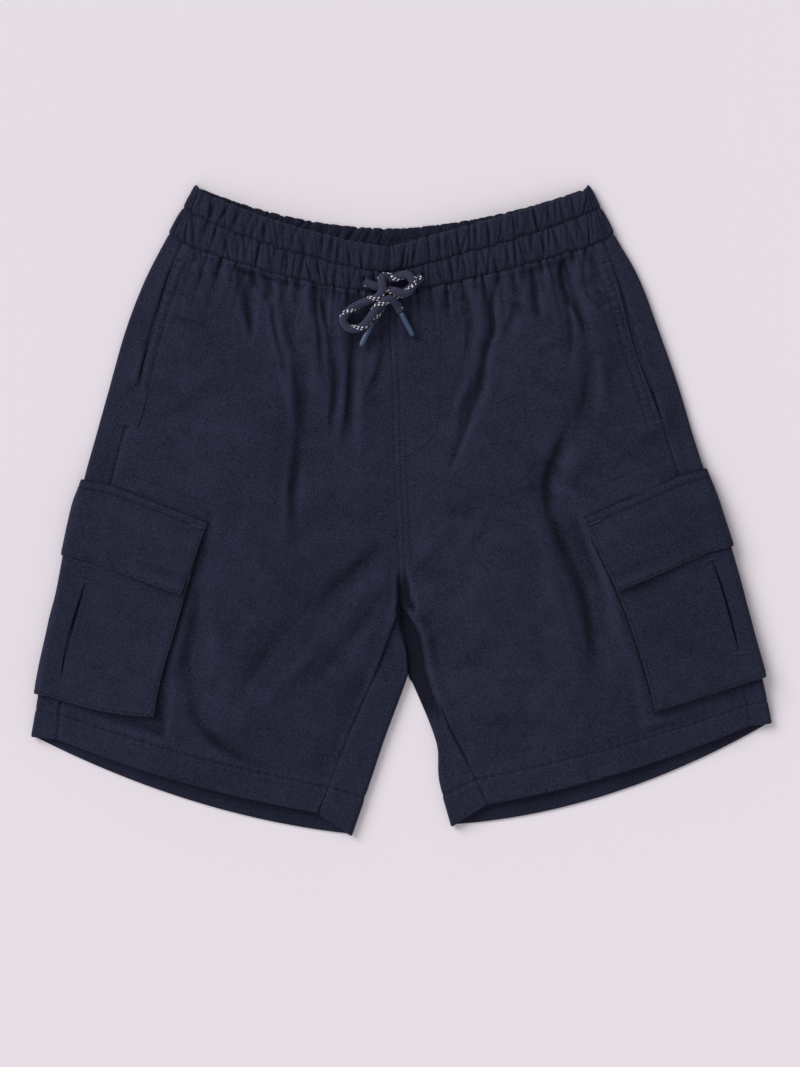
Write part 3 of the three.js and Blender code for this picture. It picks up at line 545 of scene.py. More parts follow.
def drift(x, y, scale, seed):
    """Slow uneven change over a surface, from -1 to 1, at a scale in millimetres."""
    lattice = np.random.default_rng(seed).uniform(-1, 1, (64, 64))
    across = x / scale + 32
    along = y / scale + 32
    i = np.floor(across).astype(int)
    j = np.floor(along).astype(int)
    u = blend_over(across - i)
    v = blend_over(along - j)
    corner = [[lattice[(i + a) % 64, (j + b) % 64] for b in (0, 1)] for a in (0, 1)]
    return ((corner[0][0] * (1 - u) + corner[1][0] * u) * (1 - v)
            + (corner[0][1] * (1 - u) + corner[1][1] * u) * v)


CREASE_GAIN = 1.8
RIDGE_GAIN = 1.15
STEEP_SIDE = 0.85
SOFT_SIDE = 2.7


def crease_height(x, y, creases):
    """Height of creases at some points.  Each crease is its height, negative for a trough, its
    width, and the points that it runs past.  It fades in and out at its ends.  A trough drops
    steeply on one side and climbs softly on the other."""
    total = np.zeros_like(x)
    for number, (height, width, points) in enumerate(creases):
        line = smooth_line(points, 4)
        reach = 3 * width * SOFT_SIDE
        near = ((x > line[:, 0].min() - reach) & (x < line[:, 0].max() + reach)
                & (y > line[:, 1].min() - reach) & (y < line[:, 1].max() + reach))
        px = x[near][:, None]
        py = y[near][:, None]
        start = line[:-1]
        span = line[1:] - start
        share = ((px - start[:, 0]) * span[:, 0] + (py - start[:, 1]) * span[:, 1]) / (span ** 2).sum(axis=1)
        share = np.clip(share, 0, 1)
        gap = np.hypot(px - start[:, 0] - share * span[:, 0], py - start[:, 1] - share * span[:, 1])
        best = gap.argmin(axis=1)
        rows = np.arange(len(best))
        along = (best + share[rows, best]) / len(span)
        taper = blend_over(along * 5 + 0.25) * blend_over((1 - along) * 2.5)
        swell = 1 + 0.35 * np.sin(along * 9 + number * 2.3)
        nearest = gap[rows, best]
        if height > 0:
            side = (1.6 * width + 1.2) * swell
            total[near] += RIDGE_GAIN * height * taper * np.exp(-(nearest / side) ** 2)
            continue
        ahead = span[best]
        turned = ahead[:, 0] * (py[:, 0] - start[best, 1]) - ahead[:, 1] * (px[:, 0] - start[best, 0])
        steep = turned * (1 if number % 4 else -1) < 0
        steep_side = STEEP_SIDE * (1.1 if width < 3 else 1.6)
        side = (1.15 * width + 0.6) * swell * np.where(steep, steep_side, SOFT_SIDE)
        total[near] += height * CREASE_GAIN * taper * np.exp(-(nearest / side) ** 1.6)
    return total


RIGHT_CREASES = [
    (-1.1, 2.2, [(-135, 189), (-136, 178), (-137, 168)]),
    (0.9, 2.6, [(-131, 181), (-129, 166), (-134, 153), (-145, 146)]),
    (-0.6, 3.0, [(-156, 177), (-147, 169), (-139, 171)]),
    (-0.5, 2.6, [(-170, 163), (-158, 159), (-149, 156)]),
    (-0.8, 4.0, [(-171, 146), (-151, 138), (-133, 148)]),
    (-1.8, 2.2, [(-115, 184), (-116, 162), (-113, 138), (-111, 118)]),
    (0.9, 3.4, [(-121, 180), (-123, 158), (-120, 132)]),
    (-0.7, 1.2, [(-112, 172), (-102, 160), (-96, 151)]),
    (-1.0, 1.6, [(-99, 177), (-97, 164), (-95, 155)]),
    (-1.3, 1.5, [(-96, 158), (-95, 138), (-90, 119), (-86, 103), (-83, 86)]),
    (1.8, 3.0, [(-91, 172), (-91, 148), (-88, 125), (-84, 103), (-80, 70), (-76, 34)]),
    (-1.9, 3.2, [(-84, 181), (-87, 162), (-87, 146), (-82, 125), (-72, 109), (-62, 97)]),
    (-1.5, 9.0, [(-76, 118), (-70, 82), (-69, 45), (-66, -4)]),
    (-1.5, 2.6, [(-80, 116), (-77, 80), (-78, 44), (-82, 8), (-79, -34)]),
    (-1.3, 1.7, [(-65, 168), (-63, 150), (-61, 130), (-59, 106), (-55, 80)]),
    (-1.8, 2.0, [(-60, 166), (-58, 150), (-54, 131), (-51, 112), (-49, 96), (-52, 70), (-56, 44)]),
    (1.1, 3.6, [(-52, 168), (-48, 140), (-43, 108), (-46, 66), (-52, 34)]),
    (1.0, 2.4, [(-70, 166), (-68, 140), (-66, 118)]),
    (-0.8, 2.2, [(-44, 170), (-47, 152), (-49, 142)]),
    (-2.0, 2.2, [(-36, 164), (-36, 132), (-38, 106), (-40, 70), (-45, 30)]),
    (-0.9, 6.0, [(-30, 132), (-29, 112), (-33, 80)]),
    (1.2, 4.0, [(-22, 140), (-23, 112), (-30, 70), (-38, 36)]),
    (-1.1, 2.4, [(-15, 150), (-15, 119), (-18, 102), (-25, 84), (-28, 56)]),
    (0.9, 12.0, [(-160, 104), (-142, 74), (-149, 16)]),
    (-0.7, 9.0, [(-148, 96), (-128, 62), (-122, 20)]),
    (0.7, 9.0, [(-142, 90), (-108, 45), (-96, 10)]),
    (-1.9, 5.5, [(-12, -22), (-50, -58), (-75, -79), (-103, -108), (-124, -142), (-128, -160)]),
    (1.5, 5.0, [(-12, -44), (-44, -80), (-70, -108), (-106, -146), (-112, -176)]),
    (-1.3, 5.0, [(-12, -54), (-34, -88), (-52, -112), (-80, -134), (-90, -150)]),
    (0.9, 8.0, [(-75, -34), (-44, -20), (-8, -7)]),
    (-2.3, 6.0, [(-160, -50), (-158, -84), (-157, -116), (-153, -150), (-134, -173), (-104, -188),
                 (-70, -190), (-44, -182)]),
    (1.6, 8.0, [(-140, -60), (-138, -112), (-126, -146), (-96, -168)]),
    (-0.8, 4.0, [(-24, -120), (-36, -140), (-46, -168), (-56, -196)]),
    (0.6, 5.0, [(-100, 20), (-118, -16), (-138, -50)]),
]
LEFT_CREASES = [
    (-0.7, 1.3, [(34, 165), (35, 146)]),
    (-0.6, 1.2, [(40, 168), (41, 150)]),
    (-1.1, 1.7, [(46, 168), (46, 150), (49, 137), (48, 119), (44, 102)]),
    (0.7, 2.6, [(52, 166), (53, 148), (54, 130)]),
    (-2.2, 2.2, [(72, 175), (68, 162), (67, 150), (68, 133), (63, 120), (60, 106), (57, 90), (53, 79),
                 (45, 56), (30, 16)]),
    (1.9, 3.4, [(63, 170), (59, 144), (57, 125), (53, 103), (44, 84), (36, 56), (18, 40)]),
    (-1.0, 2.4, [(85, 157), (78, 134), (70, 120)]),
    (1.0, 3.0, [(94, 172), (90, 146), (81, 125), (71, 114)]),
    (-1.2, 2.2, [(96, 182), (99, 162), (101, 144), (100, 134)]),
    (0.8, 3.2, [(107, 180), (109, 158), (112, 136)]),
    (-2.8, 2.3, [(118, 190), (119, 174), (122, 162), (128, 152), (133, 141), (137, 125)]),
    (-1.6, 4.4, [(131, 146), (137, 125), (139, 112), (137, 94), (133, 66), (129, 36)]),
    (-1.3, 1.8, [(122, 160), (125, 138), (125, 120), (123, 104)]),
    (1.9, 4.2, [(128, 180), (137, 152), (145, 131), (147, 108), (147, 72), (145, 50)]),
    (1.6, 6.0, [(143, 62), (132, 44), (122, 30), (119, 12), (124, -16)]),
    (-2.2, 3.4, [(126, 68), (113, 40), (107, 12), (113, -14), (128, -42), (137, -80), (141, -140)]),
    (-0.8, 3.0, [(131, 161), (142, 172), (151, 178)]),
    (-0.6, 2.6, [(144, 149), (152, 156), (156, 163)]),
    (-0.8, 10.0, [(104, 124), (110, 104), (98, 84)]),
    (-1.1, 6.0, [(114, 38), (104, 22), (100, 4)]),
    (0.7, 6.0, [(200, 68), (174, 58), (146, 34)]),
    (-0.5, 5.0, [(196, 60), (170, 46), (150, 20)]),
    (-1.6, 7.5, [(118, -4), (128, -22), (137, -62), (145, -112), (148, -148), (143, -168)]),
    (1.9, 7.0, [(102, 8), (108, -30), (116, -70), (126, -124), (126, -158)]),
    (1.5, 8.0, [(8, -30), (43, -14), (74, -7)]),
    (-0.8, 9.0, [(14, -34), (34, -50), (56, -60)]),
    (0.8, 8.0, [(14, -66), (44, -84), (76, -92)]),
    (-0.7, 7.0, [(20, -92), (44, -112), (74, -120)]),
    (-0.6, 5.0, [(89, -120), (91, -150), (88, -178)]),
    (-0.6, 8.0, [(70, -150), (84, -172), (104, -186)]),
    (0.7, 9.0, [(44, -140), (60, -164), (74, -186)]),
]
CREASES = {"right": RIGHT_CREASES, "left": LEFT_CREASES}


def relief(leg, points):
    """Creases and small unevenness of the upper side of a leg."""
    x = points[..., 0]
    y = points[..., 1]
    height = crease_height(x.ravel(), y.ravel(), CREASES[leg["name"]]).reshape(x.shape)
    height += 2.8 * drift(x, y, 58, 3) + 1.3 * drift(x, y, 27, 4) + 0.3 * drift(x, y, 10, 5)
    return height


def pinches(count, length, seed, widest=1.5):
    """Short sharp creases where gathered cloth is held by stitches.  Each has its place along
    the seam, slant, depth, width, reach, and the stitches that it starts from."""
    chance = np.random.default_rng(seed)
    places = (np.arange(count) + chance.uniform(0.1, 0.9, count)) * length / count
    return list(zip(places, chance.normal(0, 1.6, count), 0.6 + 1.5 * chance.random(count) ** 1.5,
                    widest * chance.uniform(0.5, 1.0, count), chance.uniform(0.3, 1.0, count),
                    chance.integers(0, 3, count)))


def pinch_depth(along, away, made):
    """Depth of pinches at places along a seam and away from it, as 0 to 1 of their full reach."""
    depth = np.zeros(np.broadcast(along, away).shape)
    for place, slant, deep, width, reach, _ in made:
        gap = along - place - 3 * slant * away
        wide = width * (0.8 + 2.2 * away) * np.where(gap * slant > 0, 0.8, 1.9)
        depth += deep * np.exp(-(gap / wide) ** 2) * (1 - blend_over(away / reach)) ** 0.8
    return depth


def gather_place(step):
    """Real, uneven place of gathers that are spaced evenly in step."""
    return (step + 0.014 * np.sin(4 * np.pi * step) + 0.008 * np.sin(10 * np.pi * step)
            + 0.004 * np.sin(26 * np.pi * step))


def gather_shape(step, count, sign):
    """Height of gathers, 0 to 1, rounded on top and sharp between two."""
    number = np.floor(step * count + 1e-6)
    return (0.4 + 0.6 * uneven(number + 50 + 17 * sign)) * np.abs(np.sin(np.pi * step * count))


def panel_gather(step, down, sign):
    """Gathers that run out below the waistband, each as far as it happens to."""
    number = np.floor(step * FRONT_GATHERS + 1e-6)
    length = 45 + 38 * uneven(number + 9 * sign)
    fade = 1 - blend_over((down - WAIST_SEAM) / length)
    coarse = PANEL_GATHER * fade * gather_shape(step, FRONT_GATHERS, sign)
    small = np.floor(step * SMALL_GATHERS + 1e-6)
    short = 8 + 22 * uneven(small + 31 * sign)
    fine_fade = 1 - blend_over((down - WAIST_SEAM) / short)
    fine = 0.7 * fine_fade * (0.4 + 0.6 * uneven(small + 5 * sign))
    fine = fine * np.abs(np.sin(np.pi * step * SMALL_GATHERS))
    return coarse + fine


WAIST_PINCHES = {"right": pinches(24, 152, 71, 2.3), "left": pinches(24, 158, 72, 2.3)}


def seam_sway(leg, around):
    """How far the waist seam sways up and down between the gathers, in millimetres."""
    along = (1 + around) * level(leg, np.array(float(WAIST_SEAM)))["front_width"]
    sway = 0.95 * drift(along, 0 * along, 5.2, 61) + 0.6 * drift(along, 0 * along + 9, 2.4, 62)
    return sway * blend_over(-around * 30) * blend_over((1 + around) * 40)


def stitch_puckers(along, away, pitch=3.5):
    """Small uneven puckers across a row of stitches in gathered cloth."""
    wander = 2.2 * drift(along, 0 * along, 9, 67)
    return 0.42 * np.abs(np.sin(np.pi * along / pitch + wander)) * np.exp(-(away / 2.3) ** 2)


def covered(from_seam, down):
    """1 where the cargo pocket lies on the front, which holds the cloth flat, and 0 outside."""
    return blend_over((85 - from_seam) / 9) * blend_over((down - 222) / 10) * blend_over((400 - down) / 8)


def crotch_valley(leg, base, from_centre, down):
    """How deep the centre front sinks at the crotch, where the fronts fold apart."""
    below = -38 - base[..., 1]
    if leg["name"] == "left":
        reach = (3.2 + 0.1 * np.clip(below, 0, 32)) * (1 - blend_over((down - CROTCH) / 22))
    else:
        reach = 1.4 * (1 - blend_over((down - CROTCH) / 12))
    sunk = 1 - blend_over((from_centre - reach) / 2.8)
    return VALLEY_DEPTH * sunk * blend_over(below / 32) * (1 - blend_over((down - CROTCH) / 14))


def seam_roll(distance, depth=0.5, width=1.3):
    """How far cloth sinks towards a seam or a folded edge."""
    return depth * np.exp(-(distance / width) ** 2)


def stitch_groove(distance, depth=0.45, width=0.9):
    """How far a row of stitches draws the cloth in."""
    return depth * np.exp(-(distance / width) ** 2)


def softened(values, reach):
    """Values averaged over some rows and columns to each side."""
    for axis in (0, 1):
        padded = np.concatenate([np.repeat(np.take(values, [0], axis), reach, axis), values,
                                 np.repeat(np.take(values, [-1], axis), reach, axis)], axis)
        total = np.cumsum(np.concatenate([np.zeros_like(np.take(padded, [0], axis)), padded], axis), axis)
        window = 2 * reach + 1
        size = values.shape[axis]
        upper = np.take(total, range(window, window + size), axis)
        values = (upper - np.take(total, range(size), axis)) / window
    return values


def fading_and_crease_shade(offset, reach=3, gain=0.55):
    """How light each point is painted, 0 to 1: ridges fade as worn, washed cloth does, and creases are painted
    darker, as shade.
    """
    return np.clip(0.72 + gain * (offset - softened(offset, reach)), 0.15, 1)


def shell(name, outer, inner, material, keep=None, fade=None):
    """A closed thin sheet from the rows of points of its two faces, in millimetres."""
    rows, columns = outer.shape[:2]
    index = np.arange(rows * columns).reshape(rows, columns)
    quads = np.stack([index[:-1, :-1], index[:-1, 1:], index[1:, 1:], index[1:, :-1]], axis=-1)
    quads = quads[keep] if keep is not None else quads.reshape(-1, 4)
    used = np.unique(quads)
    quads = np.searchsorted(used, quads)
    count = len(used)
    points = np.concatenate([outer.reshape(-1, 3)[used], inner.reshape(-1, 3)[used]])
    edges = np.concatenate([quads[:, [at, (at + 1) % 4]] for at in range(4)])
    forward = edges[:, 0] * count + edges[:, 1]
    border = edges[~np.isin(edges[:, 1] * count + edges[:, 0], forward)]
    walls = np.stack([border[:, 1], border[:, 0], border[:, 0] + count, border[:, 1] + count], axis=-1)
    faces = np.concatenate([quads, quads[:, ::-1] + count, walls])
    a, b, c, d = (points[faces[:, at]] for at in range(4))
    volume = (np.einsum("ij,ij->i", a, np.cross(b, c)) + np.einsum("ij,ij->i", a, np.cross(c, d))).sum()
    if volume < 0:
        faces = faces[:, ::-1]
    piece = mesh_object(name, points, faces.tolist(), [material])
    # The washed attribute holds the fading of ridges and painted shade in creases; the inner face gets a fixed
    # 0.6.
    washed = np.full(rows * columns, 0.72) if fade is None else fade.ravel()
    layer = piece.data.attributes.new("washed", "FLOAT", "POINT")
    layer.data.foreach_set("value", np.concatenate([washed[used], np.full(count, 0.6)]))
    return piece


def graded(start, end, step, fine=(0, 0.35, 0.8, 1.4, 2.2, 3.2)):
    """Places from start to end, close together near both ends."""
    length = abs(end - start)
    middle = np.linspace(fine[-1], length - fine[-1], max(2, round((length - 2 * fine[-1]) / step) + 1))
    places = np.concatenate([fine[:-1], middle, length - np.array(fine[:-1])[::-1]])
    return start + places * np.sign(end - start)


def woven_group():
    """Slubbed plain weave: uneven threads both ways, with soft fading from washing, and the painted crease shade
    that comes in with the washed attribute.
    """
    group = bpy.data.node_groups.new("slubbed_weave", "ShaderNodeTree")
    make = group.interface.new_socket
    make("Cloth Colour", in_out="INPUT", socket_type="NodeSocketColor")
    make("Faded Colour", in_out="INPUT", socket_type="NodeSocketColor")
    make("Grain Angle", in_out="INPUT", socket_type="NodeSocketFloat")
    make("Washed And Shade", in_out="INPUT", socket_type="NodeSocketFloat")
    make("Colour", in_out="OUTPUT", socket_type="NodeSocketColor")
    make("Roughness", in_out="OUTPUT", socket_type="NodeSocketFloat")
    make("Height", in_out="OUTPUT", socket_type="NodeSocketFloat")
    nodes = group.nodes
    link = group.links.new
    entry = nodes.new("NodeGroupInput")
    leave = nodes.new("NodeGroupOutput")
    coordinates = nodes.new("ShaderNodeTexCoord")
    turn = nodes.new("ShaderNodeVectorRotate")
    turn.rotation_type = "Z_AXIS"
    link(coordinates.outputs["Object"], turn.inputs["Vector"])
    link(entry.outputs["Grain Angle"], turn.inputs["Angle"])

    def noise(scale, stretch, detail):
        mapping = nodes.new("ShaderNodeMapping")
        mapping.inputs["Scale"].default_value = stretch
        texture = nodes.new("ShaderNodeTexNoise")
        texture.inputs["Scale"].default_value = scale
        texture.inputs["Detail"].default_value = detail
        link(turn.outputs["Vector"], mapping.inputs["Vector"])
        link(mapping.outputs["Vector"], texture.inputs["Vector"])
        return texture.outputs["Fac"]

    def wave(axis, scale):
        texture = nodes.new("ShaderNodeTexWave")
        texture.bands_direction = axis
        texture.inputs["Scale"].default_value = scale
        texture.inputs["Distortion"].default_value = 1.2
        texture.inputs["Detail"].default_value = 1
        texture.inputs["Detail Scale"].default_value = 0.6
        link(turn.outputs["Vector"], texture.inputs["Vector"])
        return texture.outputs["Fac"]

    def reckon(operation, first, second):
        node = nodes.new("ShaderNodeMath")
        node.operation = operation
        for socket, value in zip(node.inputs, (first, second)):
            if isinstance(value, (int, float)):
                socket.default_value = value
            else:
                link(value, socket)
        return node.outputs["Value"]

    weft_slub = noise(1, (560, 1900, 1100), 2)
    warp_slub = noise(1, (1900, 660, 1100), 2)
    grain = noise(1500, (1, 1, 1), 2)
    washed = noise(22, (1, 1, 1), 4)
    threads = reckon("MULTIPLY", wave("X", 420), wave("Y", 380))
    slubs = reckon("ADD", reckon("MULTIPLY", weft_slub, 0.55), reckon("MULTIPLY", warp_slub, 0.45))
    mottle = reckon("ADD", reckon("MULTIPLY", slubs, 2.2), reckon("MULTIPLY", grain, 2.3))
    mottle = reckon("ADD", mottle, reckon("MULTIPLY", washed, 0.35))
    mottle = reckon("ADD", mottle, reckon("MULTIPLY", entry.outputs["Washed And Shade"], 0.9))
    spread = nodes.new("ShaderNodeMapRange")
    spread.inputs["From Min"].default_value = 2.55
    spread.inputs["From Max"].default_value = 3.6
    link(mottle, spread.inputs["Value"])
    tint = nodes.new("ShaderNodeMix")
    tint.data_type = "RGBA"
    link(spread.outputs["Result"], tint.inputs["Factor"])
    link(entry.outputs["Cloth Colour"], tint.inputs["A"])
    link(entry.outputs["Faded Colour"], tint.inputs["B"])
    link(tint.outputs["Result"], leave.inputs["Colour"])
    rough = nodes.new("ShaderNodeMapRange")
    rough.inputs["To Min"].default_value = 0.82
    rough.inputs["To Max"].default_value = 0.98
    link(grain, rough.inputs["Value"])
    link(rough.outputs["Result"], leave.inputs["Roughness"])
    height = reckon("ADD", reckon("MULTIPLY", slubs, 1.2), reckon("MULTIPLY", threads, 0.35))
    height = reckon("ADD", height, reckon("MULTIPLY", grain, 0.5))
    link(height, leave.inputs["Height"])
    return group


weave = woven_group()


def cloth_material(name, dark, faded, grain_angle):
    """Cotton cloth in one colour, with its grain at an angle to the wearer's left."""
    material, tree, shader = new_material(name, 0.9, sheen=0.16, specular=0.12)
    shader.inputs["Sheen Tint"].default_value = colour(150, 152, 190)
    # The washed attribute brings in the fading of ridges and painted shade in creases.
    fade = tree.nodes.new("ShaderNodeAttribute")
    fade.attribute_name = "washed"
    detail = tree.nodes.new("ShaderNodeGroup")
    detail.node_tree = weave
    detail.inputs["Cloth Colour"].default_value = dark
    detail.inputs["Faded Colour"].default_value = faded
    detail.inputs["Grain Angle"].default_value = np.radians(grain_angle)
    tree.links.new(fade.outputs["Fac"], detail.inputs["Washed And Shade"])
    bump = tree.nodes.new("ShaderNodeBump")
    bump.inputs["Distance"].default_value = 0.00022
    bump.inputs["Strength"].default_value = 0.8
    tree.links.new(detail.outputs["Colour"], shader.inputs["Base Color"])
    tree.links.new(detail.outputs["Roughness"], shader.inputs["Roughness"])
    tree.links.new(detail.outputs["Height"], bump.inputs["Height"])
    tree.links.new(bump.outputs["Normal"], shader.inputs["Normal"])
    return material


PANEL_CLOTH = {
    "right": cloth_material("panel_cloth_right", colour(10, 12, 23), colour(45, 47, 70), -14),
    "left": cloth_material("panel_cloth_left", colour(10, 12, 23), colour(45, 47, 69), 14),
}

thread_material = tinted_material("sewing_thread", 0.6, 260, colour(7, 8, 16), colour(18, 19, 32),
                                  sheen=0.05, specular=0.25)
tack_material = tinted_material("tack_thread", 0.6, 500, colour(22, 24, 40), colour(54, 58, 82),
                                sheen=0.05, specular=0.25)
STITCH_LENGTH = 2.1
STITCH_PITCH = 2.9
STITCH_RADIUS = 0.37


def stitches_between(starts, ends, outs, radius=STITCH_RADIUS):
    """Points and faces of short threads that lie between pairs of points."""
    points = []
    faces = []
    for start, end, out in zip(starts, ends, outs):
        ahead = end - start
        side = np.cross(ahead, out)
        side = side / np.linalg.norm(side)
        first = len(points)
        points.append(start)
        for part in (0.22, 0.78):
            centre = start + ahead * part + out * radius * 0.5
            for angle in np.linspace(0, 2 * np.pi, 6, endpoint=False):
                points.append(centre + radius * (side * np.cos(angle) + out * np.sin(angle)))
        points.append(end)
        for corner in range(6):
            following = (corner + 1) % 6
            faces.append((first, first + 1 + following, first + 1 + corner))
            faces.append((first + 1 + corner, first + 1 + following,
                          first + 7 + following, first + 7 + corner))
            faces.append((first + 13, first + 7 + corner, first + 7 + following))
    return points, faces


def stitch_row(leg, around, down, offset, inside=False):
    """A row of stitches along a line on the cloth, given by arrays of around and down."""
    line, out = place_cloth(leg, around, down, offset)
    if inside:
        out = -out
    lengths = np.concatenate([[0], np.cumsum(np.linalg.norm(np.diff(line, axis=0), axis=1))])
    begins = np.arange(0.4, lengths[-1] - STITCH_LENGTH, STITCH_PITCH)

    def at(places, values):
        return np.stack([np.interp(places, lengths, values[:, axis]) for axis in range(3)], axis=1)

    middle = at(begins + STITCH_LENGTH / 2, out)
    middle /= np.linalg.norm(middle, axis=1)[:, None]
    return stitches_between(at(begins, line), at(begins + STITCH_LENGTH, line), middle)


def bartack(leg, around, down, offset, width=1.4):
    """Close stitches across a short line that hold the end of a seam."""
    line, out = place_cloth(leg, np.asarray(around), np.asarray(down), offset)
    ahead = line[1] - line[0]
    length = np.linalg.norm(ahead)
    out = out[0]
    side = np.cross(ahead / length, out)
    count = max(6, round(length / 0.42))
    centres = [line[0] + ahead * part + out * 0.12 for part in np.linspace(0, 1, count)]
    starts = [centre - side * width / 2 for centre in centres]
    ends = [centre + side * width / 2 + ahead / length * 0.2 for centre in centres]
    return stitches_between(starts, ends, [out] * count, 0.24)


def join_threads(name, groups, tacks=()):
    """One piece of sewing from several rows, which rides with the cloth."""
    points = []
    faces = []
    for row_points, row_faces in list(groups) + list(tacks):
        first = len(points)
        points.extend(row_points)
        faces.extend(tuple(corner + first for corner in face) for face in row_faces)
    sewing = mesh_object(name, points, faces, [thread_material, tack_material], sharp=180)
    in_rows = sum(len(row_faces) for _, row_faces in groups)
    sewing.data.polygons.foreach_set("material_index", (np.arange(len(faces)) >= in_rows).astype(np.int32))
    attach(sewing, "root")
    return sewing


def step_of(share):
    """The even step of a gather that stands at this share of the width."""
    even = np.linspace(0, 1, 401)
    return np.interp(share, gather_place(even), even)


def front_edge(leg, down):
    """How far the front's side edge stands back from the side seam, as a share of its width."""
    mouth = np.clip((down - MOUTH_TOP) / (MOUTH_BOTTOM - MOUTH_TOP), 0, 1)
    back = 0.12 + leg["gape"] * np.sin(np.pi * mouth) ** 0.7
    return back / level(leg, down)["front_width"]


# Rows of stitches on the front.  The fly's curved row and the pocket bags' are given by x and
# y, and the centre front's two by their distance from its seam, first level and last level.
FLY_ROW = [(28.5, 163), (28.3, 120), (27.8, 76), (26.6, 66), (25.2, 57), (20.4, 52.5), (17, 48),
           (10, 43), (2, 39.6)]
CENTRE_ROWS = [(3.8, 45, 240), (8.4, 134, 240)]
BAG_ROWS = {"right": [(-206, 28), (-172, 16), (-135, 2.6)], "left": [(196, 40), (163, 26), (129, 9)]}
MOUTH_ROWS = {"right": (2.4, 8.4), "left": (5.6, 12.0)}


def front_offset(leg, around, down):
    """How far the front stands out from its plain form, with its gathers, creases and seams."""
    width = level(leg, down)["front_width"]
    edge = front_edge(leg, down)
    step = step_of((-around - edge) / (1 - edge))
    base, _ = place_cloth(leg, around, down, 0)
    from_seam = -around * width
    from_centre = (1 + around) * width
    free = 1 - 0.85 * covered(from_seam, down)
    offset = relief(leg, base) * blend_over((down - WAIST_SEAM) / 5) * free
    offset -= crotch_valley(leg, base, from_centre, down)
    roll = 1.3 if leg["name"] == "left" else 0.2
    below_crotch = blend_over((down - CROTCH + 4) / 10) * blend_over((345 - down) / 30)
    offset += roll * np.exp(-((from_centre - 2.5) / 3) ** 2) * below_crotch
    mouth = np.clip((down - MOUTH_TOP) / (MOUTH_BOTTOM - MOUTH_TOP), 0, 1)
    offset += 0.9 * np.exp(-((from_seam - 3) / 3) ** 2) * np.sin(np.pi * mouth)
    offset += panel_gather(step, down, leg["sign"])
    offset -= pinch_depth(from_centre, (down - WAIST_SEAM) / 40, WAIST_PINCHES[leg["name"]])
    offset -= seam_roll(from_seam, 0.7) + seam_roll(down - WAIST_SEAM, 0.4, 1.3)
    offset -= np.where(down < CROTCH, 0.25, 0.5) * seam_roll(from_centre, 1, 1.0)
    offset -= stitch_puckers(from_centre, down - WAIST_SEAM, 3.9)
    settle = 4.6 * blend_over((down - 352) / 70) * np.sqrt(np.clip(4 * -around * (1 + around), 0, 1))
    if leg["name"] == "left":
        for distance, first, last in CENTRE_ROWS:
            offset -= stitch_groove(from_centre - distance, 0.25, 1.2) * ((down > first) & (down < last))
    return offset - settle + hem_offset(base, down) - mouth_grooves(leg, from_seam, down)


def hem_offset(base, down):
    """The hem's groove, the thicker cloth below it and the puckers along it."""
    pucker = np.sin(base[..., 0] * 2 * np.pi / 6.5 + 3 * drift(base[..., 0], base[..., 1], 20, 8))
    return (0.16 * blend_over((down - HEM_STITCH - 0.5) / 2) - stitch_groove(down - HEM_STITCH)
            + 0.13 * pucker * np.exp(-((down - HEM_STITCH) / 5) ** 2))


def mouth_grooves(leg, distance, down):
    """Grooves of the two rows of stitches beside the side pocket's mouth."""
    near = (down > MOUTH_TOP) & (down < MOUTH_BOTTOM)
    rows = MOUTH_ROWS[leg["name"]]
    pucker = 0.3 * np.sin(down * 2 * np.pi / 5.2 + 4 * drift(down, distance, 11, 66))
    pucker *= np.exp(-((distance - sum(rows) / 2) / 4.5) ** 2)
    return np.where(near, sum(stitch_groove(distance - row) for row in rows) + pucker, 0)


HEM_LEVELS = np.concatenate([np.arange(HEM_STITCH - 2.6, HEM_STITCH + 3, 0.65),
                             graded(HEM_STITCH + 3.4, HEM, 1.6, (0, 0.3, 0.6, 1.0, 1.5))])


def hem_wall(outer, out, down):
    """Inner face of a panel, with the hem turned up inside and folded round at its edge."""
    turned_up = blend_over((down - HEM_STITCH + 1.5) / 1.2)
    thickness = CLOTH_THICKNESS + (HEM_THICKNESS - CLOTH_THICKNESS) * turned_up
    fold = np.clip((down - HEM + 1.5) / 1.5, 0, 1) ** 2
    return outer - out * (fold * 0.55)[..., None], outer - out * (thickness - fold * 0.55)[..., None]


def row_on(leg, around, down, height):
    """A row of stitches on a face, where height gives how far it stands out at each place."""
    around, down = np.broadcast_arrays(np.asarray(around, float), np.asarray(down, float))
    return stitch_row(leg, around, down, height(leg, around, down))


def front_row(leg, points):
    """A row of stitches on the front along a line given by x and y."""
    return row_on(leg, *on_front(leg, smooth_line(points, 2)), front_offset)


